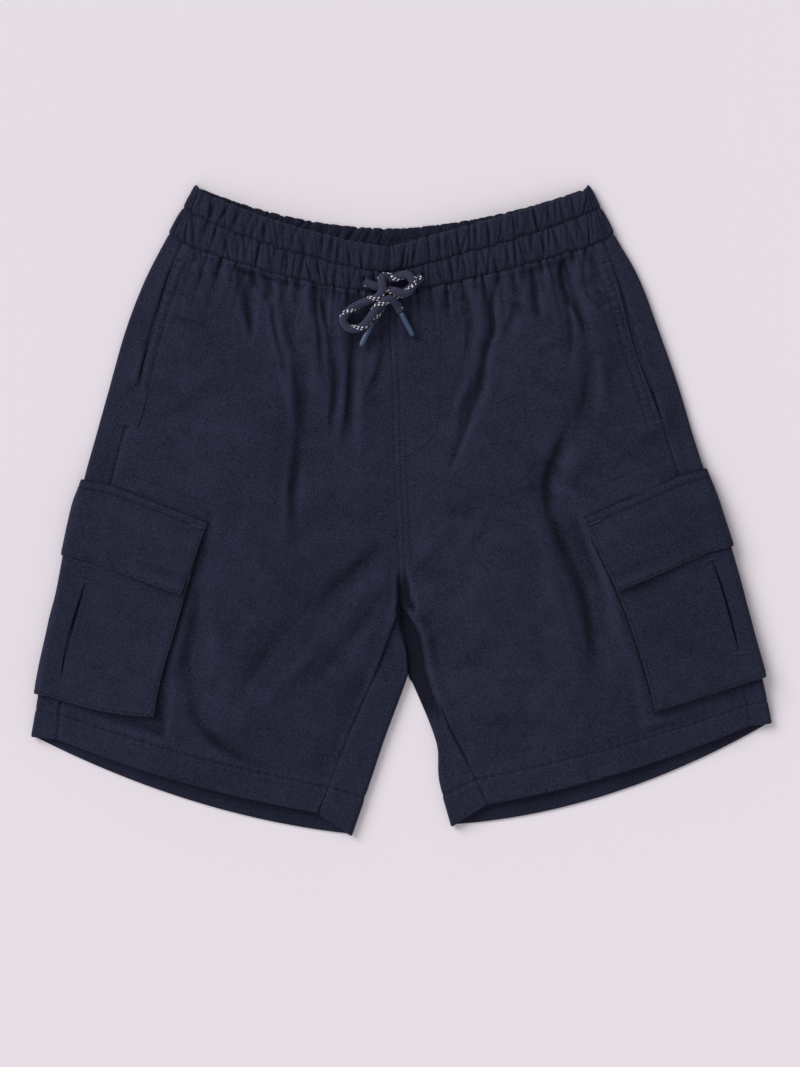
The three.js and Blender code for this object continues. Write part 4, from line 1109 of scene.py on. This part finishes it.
for leg in LEGS:
    downs = np.concatenate([graded(WAIST_SEAM + 0.12, 90, 1.25),
                            np.arange(91.6, HEM_STITCH - 3, 1.9), HEM_LEVELS])
    steps = np.concatenate([[0, 0.0022, 0.0048, 0.008, 0.012, 0.0168], np.linspace(0.022, 0.978, 136),
                            [0.9832, 0.988, 0.992, 0.9952, 0.9978, 1]])
    step, down = np.meshgrid(steps, downs)
    edge = front_edge(leg, down)
    around = -(edge + (1 - edge) * gather_place(step))
    around[:, -1] = -1
    down = down + seam_sway(leg, around) * (1 - blend_over((down - WAIST_SEAM) / 4))
    offset = front_offset(leg, around, down)
    outer, out = place_cloth(leg, around, down, offset)
    outer, inner = hem_wall(outer, out, down)
    base, _ = place_cloth(leg, around, down, 0)
    from_centre = (1 + around) * level(leg, down)["front_width"]
    # The front's creases, and most of all the floor of the crotch valley, are painted darker, as shade.
    sunk = crotch_valley(leg, base, from_centre, down) / VALLEY_DEPTH
    panel = shell(f"front_panel_{leg['name']}_cloth", outer, inner, PANEL_CLOTH[leg["name"]],
                  fade=np.clip(fading_and_crease_shade(offset) - 0.9 * sunk, 0, 1))
    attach(panel, "root")
    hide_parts(f"front_panel_{leg['name']}")

    threads = [row_on(leg, np.linspace(-0.995, -0.006, 160), HEM_STITCH, front_offset)]
    tacks = []
    mouth = np.arange(MOUTH_TOP - 2, MOUTH_BOTTOM + 3, 2.0)
    for distance in MOUTH_ROWS[leg["name"]]:
        threads.append(row_on(leg, -distance / level(leg, mouth)["front_width"], mouth, front_offset))
    threads.append(front_row(leg, BAG_ROWS[leg["name"]]))
    if leg["name"] == "left":
        threads.append(front_row(leg, FLY_ROW))
        for distance, first, last in CENTRE_ROWS:
            beside = np.arange(first, last, 2.0)
            across = -1 + distance / level(leg, beside)["front_width"]
            threads.append(row_on(leg, across, beside, front_offset))
        ends = on_front(leg, [(-4.2, 53), (2.2, 53)])
        tacks.append(bartack(leg, *ends, front_offset(leg, *ends)))
    for stop in (MOUTH_TOP + 2, MOUTH_BOTTOM - 1):
        stops = np.array([stop, stop], float)
        ends = -np.array([0.6, 7.0]) / level(leg, stops)["front_width"], stops
        tacks.append(bartack(leg, *ends, front_offset(leg, *ends)))
    join_threads(f"front_sewing_{leg['name']}", threads, tacks)

# Back panels
# One for each leg, in the same cloth.  Each is wider than the front and wraps round both
# edges of the leg, so that the side seam and the inseam lie on top.  The two are joined at
# the centre back, and the leg rests on them.
BACK_WAIST_GATHERS = 26
BACK_CREASES = {
    "right": [
        (-0.8, 5, [(-150, 150), (-120, 60), (-128, -20)]), (-0.9, 7, [(-30, 60), (-80, 10), (-120, -60)]),
        (-0.7, 5, [(-60, 160), (-66, 110), (-58, 60)]), (-0.8, 6, [(-14, -20), (-70, -50), (-104, -110)]),
        (-0.7, 4, [(-104, 176), (-100, 130), (-106, 100)]),
        (-0.6, 5, [(-190, -120), (-140, -150), (-90, -170)]),
    ],
    "left": [
        (-0.8, 5, [(140, 140), (112, 50), (124, -30)]), (-0.9, 7, [(26, 66), (84, 16), (116, -50)]),
        (-0.7, 5, [(54, 160), (62, 104), (50, 56)]), (-0.8, 6, [(12, -24), (64, -56), (96, -120)]),
        (-0.7, 4, [(96, 172), (92, 128), (100, 90)]), (-0.6, 5, [(186, -110), (146, -146), (96, -160)]),
    ],
}


def back_offset(leg, around, down):
    """How far the back stands out from its plain form.  On the underside it only draws in."""
    row = level(leg, down)
    base, _ = place_cloth(leg, around, down, 0)
    x = base[..., 0]
    y = base[..., 1]
    strip = np.linalg.norm(row["turn"] - row["seam"], axis=-1) * around
    top = relief(leg, base) * (1 - blend_over(around)) * blend_over((down - WAIST_SEAM) / 6)
    top -= seam_roll(strip, 0.7) + 0.3 * mouth_grooves(leg, -strip, down)
    beneath = crease_height(x.ravel(), y.ravel(), BACK_CREASES[leg["name"]]).reshape(x.shape)
    beneath += 0.25 * (drift(x, y, 34, 13) - 1) + 0.1 * (drift(x, y, 9, 14) - 1)
    gathers = np.abs(np.sin(np.pi * (around - 2) * BACK_WAIST_GATHERS)) - 1
    beneath += 0.5 * gathers * (1 - blend_over((down - WAIST_SEAM) / (16 + 12 * drift(x, y, 9, 15))))
    beneath -= np.where(down < CROTCH, seam_roll((3 - around) * row["floor_width"], 0.4), 0)
    inseam = (0.5 * drift(x, y, 24, 16) + 0.4 * drift(x, y, 9, 17)) * blend_over(around - 4)
    inseam -= seam_roll((5 - around) * row["strip_width"], 0.7)
    offset = np.select([around <= 1, around < 3.5], [top, beneath * blend_over((around - 1.2) * 2)],
                       inseam * (down >= CROTCH))
    turn_fade = np.where((around > 3) & (around < 4), 1 - blend_over((around - 3) * 3), 1)
    return offset * turn_fade + hem_offset(base, down) - seam_roll(down - WAIST_SEAM, 0.4, 1.3)


def crotch_press(leg, points, around, down):
    """How flat the cloth is pressed between the legs, just below the crotch, 0 to 1."""
    x = points[..., 0]
    y = points[..., 1]
    from_front = (5 - around) * level(leg, down)["strip_width"]
    press = 0.68 * blend_over((around - 3) * 2) * blend_over(from_front / 1.6)
    if leg["name"] == "left":
        return press * blend_over((y + 160) / 16)
    edge = np.interp(-y, (38, 82, 106, 124), (-3.9, -1.8, 4.8, 5.2))
    return press * blend_over((x - edge + 1.5) / 2.5) * blend_over((y + 124) / 10)


for leg in LEGS:
    downs = np.concatenate([graded(WAIST_SEAM + 0.12, 90, 2.0), np.arange(92, CROTCH - 1, 2.9), [CROTCH],
                            np.arange(CROTCH + 2.6, HEM_STITCH - 3, 2.6), HEM_LEVELS])
    arounds = np.concatenate([[0.008, 0.028, 0.055, 0.09, 0.14], np.linspace(0.2, 1, 12),
                              np.linspace(1, 2, 12)[1:], np.linspace(2, 3, 82)[1:], np.linspace(3, 4, 11)[1:],
                              np.linspace(4, 4.9, 15)[1:], [4.93, 4.96, 4.98, 4.993]])
    around, down = np.meshgrid(arounds, downs)
    keep = (around[1:, 1:] <= 3.0001) | (down[:-1, 1:] >= CROTCH)
    offset = back_offset(leg, around, down)
    outer, out = place_cloth(leg, around, down, offset)
    outer, inner = hem_wall(outer, out, down)
    press = np.where((down >= CROTCH) & (around > 3), crotch_press(leg, outer, around, down), 0)
    outer[..., 2] *= 1 - press
    inner[..., 2] *= 1 - press
    # The back's creases, and most of all the cloth pressed between the legs, are painted darker, as shade.
    panel = shell(f"back_panel_{leg['name']}_cloth", outer, inner, PANEL_CLOTH[leg["name"]], keep,
                  fading_and_crease_shade(offset) - 0.75 * press)
    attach(panel, "root")
    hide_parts(f"back_panel_{leg['name']}")

    threads = []
    for first, last in ((0.06, 0.98), (1.0, 2.0), (2.0, 2.995), (3.0, 4.0), (4.02, 4.95)):
        threads.append(row_on(leg, np.linspace(first, last, 90), HEM_STITCH, back_offset))
    across = np.linspace(2.0, 2.995, 160)
    level_down = np.full_like(across, HEM_STITCH + 1)
    threads.append(stitch_row(leg, across, level_down,
                              back_offset(leg, across, level_down) - HEM_THICKNESS, inside=True))
    centre = np.arange(WAIST_SEAM + 3, CROTCH - 2, 2.0)
    for distance in ((2.0, 8.2) if leg["name"] == "left" else ()):
        beside = 3 - distance / level(leg, centre)["floor_width"]
        threads.append(row_on(leg, beside, centre, back_offset))
    join_threads(f"back_sewing_{leg['name']}", threads)

# Waistband
# The same cloth folded over elastic, one piece for each half, from the centre front seam
# round the side to the centre back seam.  A row of stitches parts it into two gathered
# tiers, and its gathers also show on the inside of the back.
BACK_GATHERS = 13
BAND_GATHER = 1.8
BAND_PUFF = 1.6
BAND_WALL = 2.0
BAND_BACK_WALL = 1.6
BAND_CLOTH = {
    "right": cloth_material("band_cloth_right", colour(9, 11, 22), colour(42, 44, 66), -8),
    "left": cloth_material("band_cloth_left", colour(9, 11, 22), colour(42, 44, 65), 8),
}


def tier_round(down):
    """Rounding of a tier, 0 at its stitch lines and 1 in its middle."""
    lower_share = (down - CASING_STITCH) / (WAIST_SEAM - CASING_STITCH)
    share = np.where(down <= CASING_STITCH, down / CASING_STITCH, lower_share)
    return np.sqrt(np.maximum(0, np.sin(np.pi * np.clip(share, 0, 1))))


BAND_PINCHES = {name: [pinches(38, 178, seed) for seed in seeds]
                for name, seeds in (("right", (81, 82)), ("left", (83, 84)))}
INSIDE_PINCHES = {name: [pinches(32, 165, seed) for seed in seeds]
                  for name, seeds in (("right", (91, 92)), ("left", (93, 94)))}


def band_pinches(along, down, made):
    """Pinches of both tiers: some run right across, some only from the upper or lower stitches."""
    total = np.zeros(np.broadcast(along, down).shape)
    tiers = ((0, CASING_STITCH), (CASING_STITCH, WAIST_SEAM))
    for (top, bottom), tier in zip(tiers, made):
        inside = (down >= top) & (down <= bottom)
        share = np.clip((down - top) / (bottom - top), 0, 1)
        for place, slant, deep, width, reach, kind in tier:
            away = (share, 1 - share, np.abs(share - 0.5))[kind]
            gap = along - place - slant * (share - 0.5) * 1.6
            near = np.exp(-(gap / (width * (0.8 + 0.5 * away))) ** 2)
            total += np.where(inside, deep * near * (1 - 0.75 * blend_over(away / (0.5 + reach))), 0)
    return total


def band_place(leg, around, down):
    """Distance along the waistband's outer face from the centre front, in millimetres."""
    row = level(leg, down)
    return np.where(around <= 0, (1 + around) * row["front_width"], row["front_width"] + 14 * around)


def band_rises(leg, around, down):
    """How far the waistband's outer face and its inner face stand from the plain form."""
    sign = leg["sign"]
    rounding = tier_round(down)
    puff = BAND_PUFF * rounding - 0.25
    step = step_of(np.clip(-around, 0, 1))
    deep = band_pinches(band_place(leg, around, down), down, BAND_PINCHES[leg["name"]])
    front = puff + BAND_GATHER * (0.35 + 0.65 * rounding) * gather_shape(step, FRONT_GATHERS, sign)
    side = puff * (1 - 0.4 * blend_over(around) - 0.4 * blend_over(around - 1.5))
    outer = np.where(around <= 0, front, side)
    outer += (0.35 - (0.45 + 0.55 * rounding) * deep) * (1 - blend_over(around - 1))
    under_gathers = np.abs(np.sin(np.pi * (around - 2) * BACK_WAIST_GATHERS)) - 1
    outer += np.where(around > 2, -0.9 + 0.3 * under_gathers, 0)
    back_step = step_of(np.clip(around - 2, 0, 1))
    inner = BAND_WALL + (BAND_BACK_WALL - BAND_WALL) * blend_over(around)
    inside = np.clip(around - 2, 0, 1) * level(leg, down)["floor_width"]
    gathers = BAND_GATHER * (0.45 + 0.55 * rounding) * gather_shape(back_step, BACK_GATHERS, sign) + 0.9
    gathers -= (0.45 + 0.55 * rounding) * band_pinches(inside, down, INSIDE_PINCHES[leg["name"]])
    inner = inner + np.where(around > 2, (0.4 * rounding + gathers) * blend_over((around - 2) * 20), 0)
    fold = 1 - np.sqrt(1 - (1 - np.clip(down / 1.8, 0, 1)) ** 2)
    centre = (1 + around) * level(leg, down)["front_width"]
    outer = outer - fold * 0.9 - seam_roll(WAIST_SEAM - down, 0.5, 1.3)
    outer = outer - stitch_groove(down - CASING_STITCH, 0.4, 1.0) - seam_roll(centre, 0.35, 1.0)
    along = band_place(leg, around, down)
    for row in (CASING_STITCH, WAIST_SEAM):
        outer = outer - stitch_puckers(along, down - row) * (around < 1)
    return outer, inner - fold * 0.8


def band_row(leg, around, down, inside=False):
    """A row of stitches on the waistband's outer face, or on its inner face."""
    around, down = np.broadcast_arrays(np.asarray(around, float), np.asarray(down, float))
    rise, drop = band_rises(leg, around, down)
    return stitch_row(leg, around, down, -drop if inside else rise, inside)


for leg in LEGS:
    downs = np.concatenate([[0, 0.25, 0.6, 1.1, 1.8], np.linspace(2.6, 16.4, 15), np.linspace(16.9, 19.1, 7),
                            np.linspace(19.6, 39.4, 20), [39.9, 40.3, 40.65, WAIST_SEAM - 0.06]])
    arounds = np.concatenate([-np.concatenate([[1, 0.9978, 0.995, 0.99], np.linspace(0.985, 0.006, 212)]),
                              np.linspace(0, 1, 16), np.linspace(1, 2, 12)[1:], np.linspace(2, 3, 190)[1:]])
    around, down = np.meshgrid(arounds, downs)
    rise, drop = band_rises(leg, around, down)
    edge_down = np.zeros_like(down)
    notch = band_pinches(band_place(leg, around, edge_down), edge_down, BAND_PINCHES[leg["name"]])
    inside = np.clip(around - 2, 0, 1) * level(leg, edge_down)["floor_width"]
    notch = np.where(around < 2, notch, band_pinches(inside, edge_down, INSIDE_PINCHES[leg["name"]]))
    raised = -0.4 * np.exp(-((around - 1.0) / 1.8) ** 2)
    moved = down + (np.clip(notch, 0, 1.5) * 0.8 + raised) * (1 - blend_over(down / 10))
    moved += seam_sway(leg, np.minimum(around, 0)) * (1 - blend_over((WAIST_SEAM - down) / 5))
    along = band_place(leg, around, edge_down)
    tier_sway = 0.8 * drift(along, 0 * along, 5.6, 63) + 0.5 * drift(along, 0 * along + 9, 2.6, 64)
    moved += tier_sway * np.exp(-((down - CASING_STITCH) / 3.2) ** 2) * (around < 1)
    outer, out = place_cloth(leg, around, moved, rise)
    inner = outer - out * (rise + drop)[..., None]
    # The band's creases are painted darker, as shade, and its ridges lighter, as faded cloth.
    band = shell(f"waistband_{leg['name']}_cloth", outer, inner, BAND_CLOTH[leg["name"]],
                 fade=fading_and_crease_shade(rise, 3, 0.5))
    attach(band, "root")
    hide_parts(f"waistband_{leg['name']}")

    threads = [band_row(leg, np.linspace(-0.993, 1.0, 420), CASING_STITCH),
               band_row(leg, np.linspace(-0.993, 1.0, 420), WAIST_SEAM - 1.6),
               band_row(leg, np.linspace(2.0, 2.99, 300), CASING_STITCH, inside=True)]
    upward = np.arange(4.0, WAIST_SEAM - 2, 1.5)
    threads.append(band_row(leg, -1 + 1.6 / level(leg, upward)["front_width"], upward))
    threads.append(band_row(leg, 3 - 3.4 / level(leg, upward)["floor_width"], upward, inside=True))
    join_threads(f"waistband_sewing_{leg['name']}", threads)

# Buttonholes
# A small slit on each side of the centre front, where the drawcord comes out, bound with
# close satin stitches in the cloth's colour.
SLIT_SIZE = (3.4, 0.7)
RIM_SIZE = (4.6, 1.9)
SATIN_STITCHES = 44
BUTTONHOLES = ((-27.8, 170.5), (15.4, 174.0))

# A dark oval sheet in each slit is painted shade, standing in for the shadow inside the hole.
buttonhole_shade_material = tinted_material("buttonhole_painted_shade", 0.95, 500, colour(8, 8, 14), colour(16, 16, 26),
                                  specular=0.05)

for leg, spot in zip(LEGS, BUTTONHOLES):
    centre_around, centre_down = on_front(leg, [spot])
    height = float(band_rises(leg, centre_around, centre_down)[0][0]) + 0.35
    middle, out = place_cloth(leg, centre_around, centre_down, height)
    middle = middle[0]
    out = out[0]
    along = np.array([0.05 * leg["sign"], 1.0, 0])
    along -= out * along.dot(out)
    along /= np.linalg.norm(along)
    beside = np.cross(along, out)
    turns = np.linspace(0, 2 * np.pi, SATIN_STITCHES, endpoint=False)
    ring, rim = ([along * np.cos(turn) * length + beside * np.sin(turn) * width for turn in turns]
                 for length, width in (SLIT_SIZE, RIM_SIZE))
    starts = [middle + spot for spot in ring]
    ends = [middle + spot - out * 0.25 for spot in rim]
    points, faces = stitches_between(starts, ends, [out] * SATIN_STITCHES, 0.3)
    threads = join_threads(f"buttonhole_{leg['name']}", [(points, faces)])
    # The dark oval sheet, a little below the stitches, is the painted shade of the hole.
    first = [middle + spot * 1.05 + out * 0.1 for spot in ring]
    second = [middle + spot * 1.05 - out * 0.5 for spot in ring]
    count = len(ring)
    shade_patch_faces = [tuple(range(count)), tuple(range(count, 2 * count))[::-1]]
    shade_patch_faces += [(at, at + count, (at + 1) % count + count, (at + 1) % count) for at in range(count)]
    slit = mesh_object(f"buttonhole_painted_shade_{leg['name']}", first + second, shade_patch_faces, [buttonhole_shade_material])
    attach(slit, "root")

# Side pocket facings
# A strip of the same cloth on the pocket bag, which shows between the edges of the slanted
# pocket mouth on the side seam.
FACING_REACH = 9
FACING_DEPTH = 1.6

for leg in LEGS:
    down, share = np.meshgrid(np.linspace(MOUTH_TOP, MOUTH_BOTTOM, 60), np.linspace(0, 1, 13), indexing="ij")
    row = level(leg, down)
    strip = np.linalg.norm(row["turn"] - row["seam"], axis=-1)
    inner_end = -FACING_REACH / row["front_width"]
    outer_end = np.minimum(FACING_REACH / strip, 0.7)
    around = inner_end + (outer_end - inner_end) * share
    outer, out = place_cloth(leg, around, down, -FACING_DEPTH + 0.12 * drift(down, share * 20, 6, 21))
    facing = shell(f"side_pocket_facing_{leg['name']}_cloth", outer, outer - out * CLOTH_THICKNESS,
                   PANEL_CLOTH[leg["name"]])
    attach(facing, "root")
    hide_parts(f"side_pocket_facing_{leg['name']}")

# Cargo pockets
# A pocket of the same cloth on the side seam of each leg, which wraps round the outline to
# the underside.  A pleat opens as a slit along the side seam, held by a bartack at each end.
POCKET_BACK_REACH = 46
POCKET_DROP = 13
POCKET_DEPTH = 150
POCKET_THICKNESS = 0.9
EDGE_ROW = 2.0
POCKETS = {
    # inner top, inner bottom, top at outline, top at inner edge, bottom at outline, bottom at inner edge
    "right": {"flap": (77, 71, 228, 236, 287, 293), "pocket": (75, 72, 228, 236, 392, 383.5),
              "slit": (303, 374)},
    "left": {"flap": (79, 74.5, 222, 232, 280, 291), "pocket": (77, 69, 222, 232, 384, 385),
             "slit": (287, 358)},
}
PATCH_CLOTH = {
    "right": cloth_material("pocket_cloth_right", colour(10, 12, 23), colour(44, 47, 69), -19),
    "left": cloth_material("pocket_cloth_left", colour(10, 12, 23), colour(44, 46, 68), 19),
}


def patch_grid(leg, shape, columns, shares, drop):
    """around, down, and sizes over a pocket or flap.  columns run from 1 at its inner edge to 0
    at the side seam, then on as around from 0 to 2, and as 2 to 3 along the underside."""
    inner_top, inner_bottom, top_outer, top_inner, bottom_outer, bottom_inner = shape
    column, share = np.meshgrid(columns, shares)
    inward = np.maximum(-column, 0)
    reach = inner_top + (inner_bottom - inner_top) * share
    top = top_outer + (top_inner - top_outer) * inward
    bottom = bottom_outer + (bottom_inner - bottom_outer) * inward ** (2 if drop else 0.9)
    down = top + drop + (bottom - top - drop) * share
    row = level(leg, down)
    beneath = 2 + (column - 2) * POCKET_BACK_REACH / row["floor_width"]
    around = np.where(column <= 0, -inward * reach / row["front_width"],
                      np.where(column <= 2, column, beneath))
    over = np.where(column <= 1, 1, 1 - blend_over(column - 1))
    strip = np.linalg.norm(row["turn"] - row["seam"], axis=-1)
    from_inner = (1 - inward) * reach
    return {"around": around, "down": down, "over": over, "from_inner": np.where(column <= 0, from_inner, 99),
            "from_back": np.where(column > 2, (3 - column) * POCKET_BACK_REACH, 99),
            "from_seam": np.where(column <= 0, -inward * reach, column * strip),
            "from_top": down - top - drop, "from_bottom": bottom - down, "column": column}


PATCH_COLUMNS = np.concatenate([[-1, -0.996, -0.989, -0.98, -0.97], np.linspace(-0.955, -0.03, 40),
                                [-0.02, -0.012, -0.006, -0.001], np.linspace(0.006, 0.24, 16),
                                np.linspace(0.3, 1, 9), np.linspace(1, 2, 12)[1:],
                                np.linspace(2, 2.93, 22)[1:], [2.96, 2.975, 2.99, 3]])


def patch_relief(leg, grid, seed):
    """Soft creases of a pocket or flap, its rolled edges and the groove of its edge stitches."""
    base, _ = place_cloth(leg, grid["around"], grid["down"], 0)
    x = base[..., 0]
    y = base[..., 1]
    offset = (0.6 * drift(x, y, 30, seed) + 0.35 * drift(x, y, 13, seed + 1) + 0.09 * drift(x, y, 5, seed + 2)
              - 0.25) * grid["over"]
    edges = np.minimum(grid["from_inner"], grid["from_back"])
    for distance in (edges, grid["from_bottom"]):
        offset -= seam_roll(distance, 0.4, 0.9) + stitch_groove(distance - EDGE_ROW, 0.3, 0.7)
        offset += 0.14 * np.sin((x + y) * 2 * np.pi / 7) * np.exp(-((distance - EDGE_ROW) / 3) ** 2)
    return offset


def patch_row(leg, shape, drop, columns, shares, height, seed):
    """A row of stitches on a pocket or flap, whose height is a function of the place on it."""
    columns, shares = np.broadcast_arrays(np.asarray(columns, float), np.asarray(shares, float))
    spots = [patch_grid(leg, shape, np.array([column]), np.array([share]), drop)
             for column, share in zip(columns, shares)]
    line = {key: np.array([spot[key][0, 0] for spot in spots]) for key in spots[0]}
    return stitch_row(leg, line["around"], line["down"], height(line) + patch_relief(leg, line, seed))


def columns_from(inner_column):
    """Columns of a row that runs from near the inner edge round to the underside."""
    return np.concatenate([np.linspace(inner_column, 0, 60), np.linspace(0.05, 2, 40),
                           np.linspace(2.05, 2.95, 30)])


def pocket_height(line):
    """How far a pocket stands out.  It stands off further towards its free edges."""
    edge = np.exp(-(line["from_bottom"] / 22) ** 2) + 0.7 * np.exp(-(line["from_inner"] / 14) ** 2)
    return 1.5 + (1.5 + 1.3 * np.minimum(edge, 1)) * line["over"]


for leg in LEGS:
    sizes = POCKETS[leg["name"]]
    seed = 30 + leg["sign"]
    shares = np.concatenate([[0, 0.004, 0.01], np.linspace(0.02, 0.94, 66), np.linspace(0.95, 0.985, 7),
                             [0.99, 0.995, 1]])
    grid = patch_grid(leg, sizes["pocket"], PATCH_COLUMNS, shares, POCKET_DROP)
    slit_top, slit_bottom = sizes["slit"]
    ends = blend_over((grid["down"] - slit_top) / 3) * blend_over((slit_bottom - grid["down"]) / 3)
    beside = grid["from_seam"]
    gape = np.sin(np.pi * np.clip((grid["down"] - slit_top) / (slit_bottom - slit_top), 0, 1)) ** 0.7
    mouth = 0.5 + 2.1 * gape
    pleat = np.where(beside > -0.1, 2.0 * (1 - blend_over((beside - 0.4 * mouth) / (0.6 * mouth))), 0)
    pleat -= 0.5 * np.exp(-((beside + 1.6) / 1.5) ** 2) * (beside < 0)
    offset = pocket_height(grid) + patch_relief(leg, grid, seed)
    # The pocket's creases, and most of all the inside of the pleat's slit, are painted darker, as shade.
    fade = fading_and_crease_shade(offset) * (1 - 0.75 * ends * (pleat > 0.6))
    offset = offset - pleat * ends * (0.35 + 0.65 * gape)
    outer, out = place_cloth(leg, grid["around"], grid["down"], offset)
    pocket = shell(f"cargo_pocket_{leg['name']}_cloth", outer, outer - out * POCKET_THICKNESS,
                   PATCH_CLOTH[leg["name"]], fade=fade)
    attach(pocket, "root")
    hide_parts(f"cargo_pocket_{leg['name']}")

    inner_column = -1 + EDGE_ROW / sizes["pocket"][1]
    bottom_share = 1 - EDGE_ROW / POCKET_DEPTH
    rows = ((inner_column, np.linspace(0.35, bottom_share, 60)), (columns_from(inner_column), bottom_share),
            (2.955, np.linspace(0.1, bottom_share, 60)))
    threads = [patch_row(leg, sizes["pocket"], POCKET_DROP, *row, pocket_height, seed) for row in rows]
    width = level(leg, np.array([float(slit_top)]))["front_width"][0]
    tacks = []
    for stop in (slit_top - 1, slit_bottom + 1):
        spots = np.array([-4.5 / width, 0.22])
        tacks.append(bartack(leg, spots, np.array([stop, stop], float), 3.15, 1.3))
    corner = patch_grid(leg, sizes["pocket"], np.array([-0.965, -0.915]), np.array([0.962, 0.985]),
                        POCKET_DROP)
    tacks.append(bartack(leg, corner["around"].diagonal(), corner["down"].diagonal(), 4.3, 1.3))
    join_threads(f"cargo_pocket_sewing_{leg['name']}", threads, tacks)

# Cargo pocket gussets
# A folded strip under the inner edge and the bottom of each pocket, which lets it open out.
# Its folded edge shows past the pocket as a thin line.
GUSSET_SHOW = 2
GUSSET_WIDTH = 16

for leg in LEGS:
    inner_top, inner_bottom, top_outer, top_inner, bottom_outer, bottom_inner = POCKETS[leg["name"]]["pocket"]
    start = top_inner + POCKET_DROP + 1
    end = bottom_inner + GUSSET_SHOW / 2
    sections = []
    for down_at in np.linspace(start, end - GUSSET_WIDTH, 40):
        edge = inner_top + (inner_bottom - inner_top) * (down_at - start) / (end - start) + GUSSET_SHOW
        sections.append(((-edge, down_at), (-edge + GUSSET_WIDTH, down_at)))
    corner = inner_bottom + GUSSET_SHOW
    for turn in np.linspace(0, 1, 8)[1:]:
        sections.append(((-corner + 0.6 * turn, end - GUSSET_WIDTH * (1 - turn)),
                         (-corner + GUSSET_WIDTH, end - GUSSET_WIDTH)))
    for inward in np.linspace(0.94, 0, 36):
        bottom = bottom_outer + (bottom_inner - bottom_outer) * inward ** 2 + GUSSET_SHOW / 2
        back = min(inner_bottom * inward, corner - GUSSET_WIDTH)
        sections.append(((-inner_bottom * inward, bottom), (-back, bottom - GUSSET_WIDTH)))
    bottom = bottom_outer + GUSSET_SHOW / 2
    for along in np.linspace(0.1, 1, 10):
        sections.append(((along, bottom), (along, bottom - GUSSET_WIDTH)))
    ends = np.array(sections)
    share = np.array([0, 0.03, 0.08, 0.16, 0.3, 0.5, 0.75, 1])[None, :, None]
    spots = ends[:, None, 0] * (1 - share) + ends[:, None, 1] * share
    down = spots[..., 1]
    around = np.where(spots[..., 0] < 0, spots[..., 0] / level(leg, down)["front_width"], spots[..., 0])
    fold = 0.5 * np.exp(-(share[..., 0] * GUSSET_WIDTH / 0.6) ** 2)
    outer, out = place_cloth(leg, around, down, 1.5 - fold)
    # The gusset is painted almost black, as the shade in the gap along the pocket's edges; its folded edge is
    # painted less dark.
    shade = 0.02 + 0.5 * np.exp(-(share[..., 0] * GUSSET_WIDTH / 0.45) ** 2) + 0 * down
    gusset = shell(f"cargo_gusset_{leg['name']}_cloth", outer, outer - out * (1.15 - fold)[..., None],
                   PATCH_CLOTH[leg["name"]], fade=shade)
    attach(gusset, "root")
    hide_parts(f"cargo_gusset_{leg['name']}")

# Cargo flaps
# A flap of two layers over the mouth of each cargo pocket, sewn to the leg along its top
# with a row of stitches and bartacks, and edge stitched on its other sides.
FLAP_RAMP = 22
FLAP_THICKNESS = 1.1
FLAP_DEPTH = 58
FLAP_REACH = 74


def flap_height(line):
    """The flap climbs from the leg over the pocket's mouth and its lower edge lifts."""
    lifted = blend_over((14 - line["from_bottom"]) / 14) * blend_over((60 - line["from_inner"]) / 50)
    climb = blend_over(line["from_top"] / FLAP_RAMP)
    return 2.4 + (0.8 + 1.8 * line["over"]) * climb + 2.6 * lifted * line["over"]


for leg in LEGS:
    sizes = POCKETS[leg["name"]]
    seed = 50 + leg["sign"]
    shares = np.concatenate([[0, 0.008, 0.02, 0.035, 0.05, 0.065, 0.08, 0.095, 0.11, 0.125],
                             np.linspace(0.15, 0.92, 26), np.linspace(0.935, 0.975, 6), [0.984, 0.992, 1]])
    grid = patch_grid(leg, sizes["flap"], PATCH_COLUMNS, shares, 0)
    offset = flap_height(grid) + patch_relief(leg, grid, seed)
    offset -= seam_roll(grid["from_top"], 0.5, 0.9) + stitch_groove(grid["from_top"] - 6, 0.4, 0.8)
    outer, out = place_cloth(leg, grid["around"], grid["down"], offset)
    # The flap's creases, and most of all the strip along its folded top edge, are painted darker, as shade.
    flap = shell(f"cargo_flap_{leg['name']}_cloth", outer, outer - out * FLAP_THICKNESS, PATCH_CLOTH[leg["name"]],
                 fade=fading_and_crease_shade(offset) - 0.6 * seam_roll(grid["from_top"], 1, 0.8))
    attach(flap, "root")
    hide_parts(f"cargo_flap_{leg['name']}")

    inner_column = -1 + EDGE_ROW / FLAP_REACH
    bottom_share = 1 - EDGE_ROW / FLAP_DEPTH
    around_edge = columns_from(inner_column)
    edge_shares = np.linspace(0.03, bottom_share, 40)
    rows = ((around_edge, 6 / FLAP_DEPTH), (around_edge, bottom_share), (inner_column, edge_shares),
            (2.955, edge_shares))
    threads = [patch_row(leg, sizes["flap"], 0, *row, flap_height, seed) for row in rows]
    corner = patch_grid(leg, sizes["flap"], np.array([-0.97, -0.86]), np.array([0.105]), 0)
    height = flap_height({key: corner[key][0] for key in corner}) - 0.1
    tacks = [bartack(leg, corner["around"][0], corner["down"][0], height, 1.6)]
    join_threads(f"cargo_flap_sewing_{leg['name']}", threads, tacks)
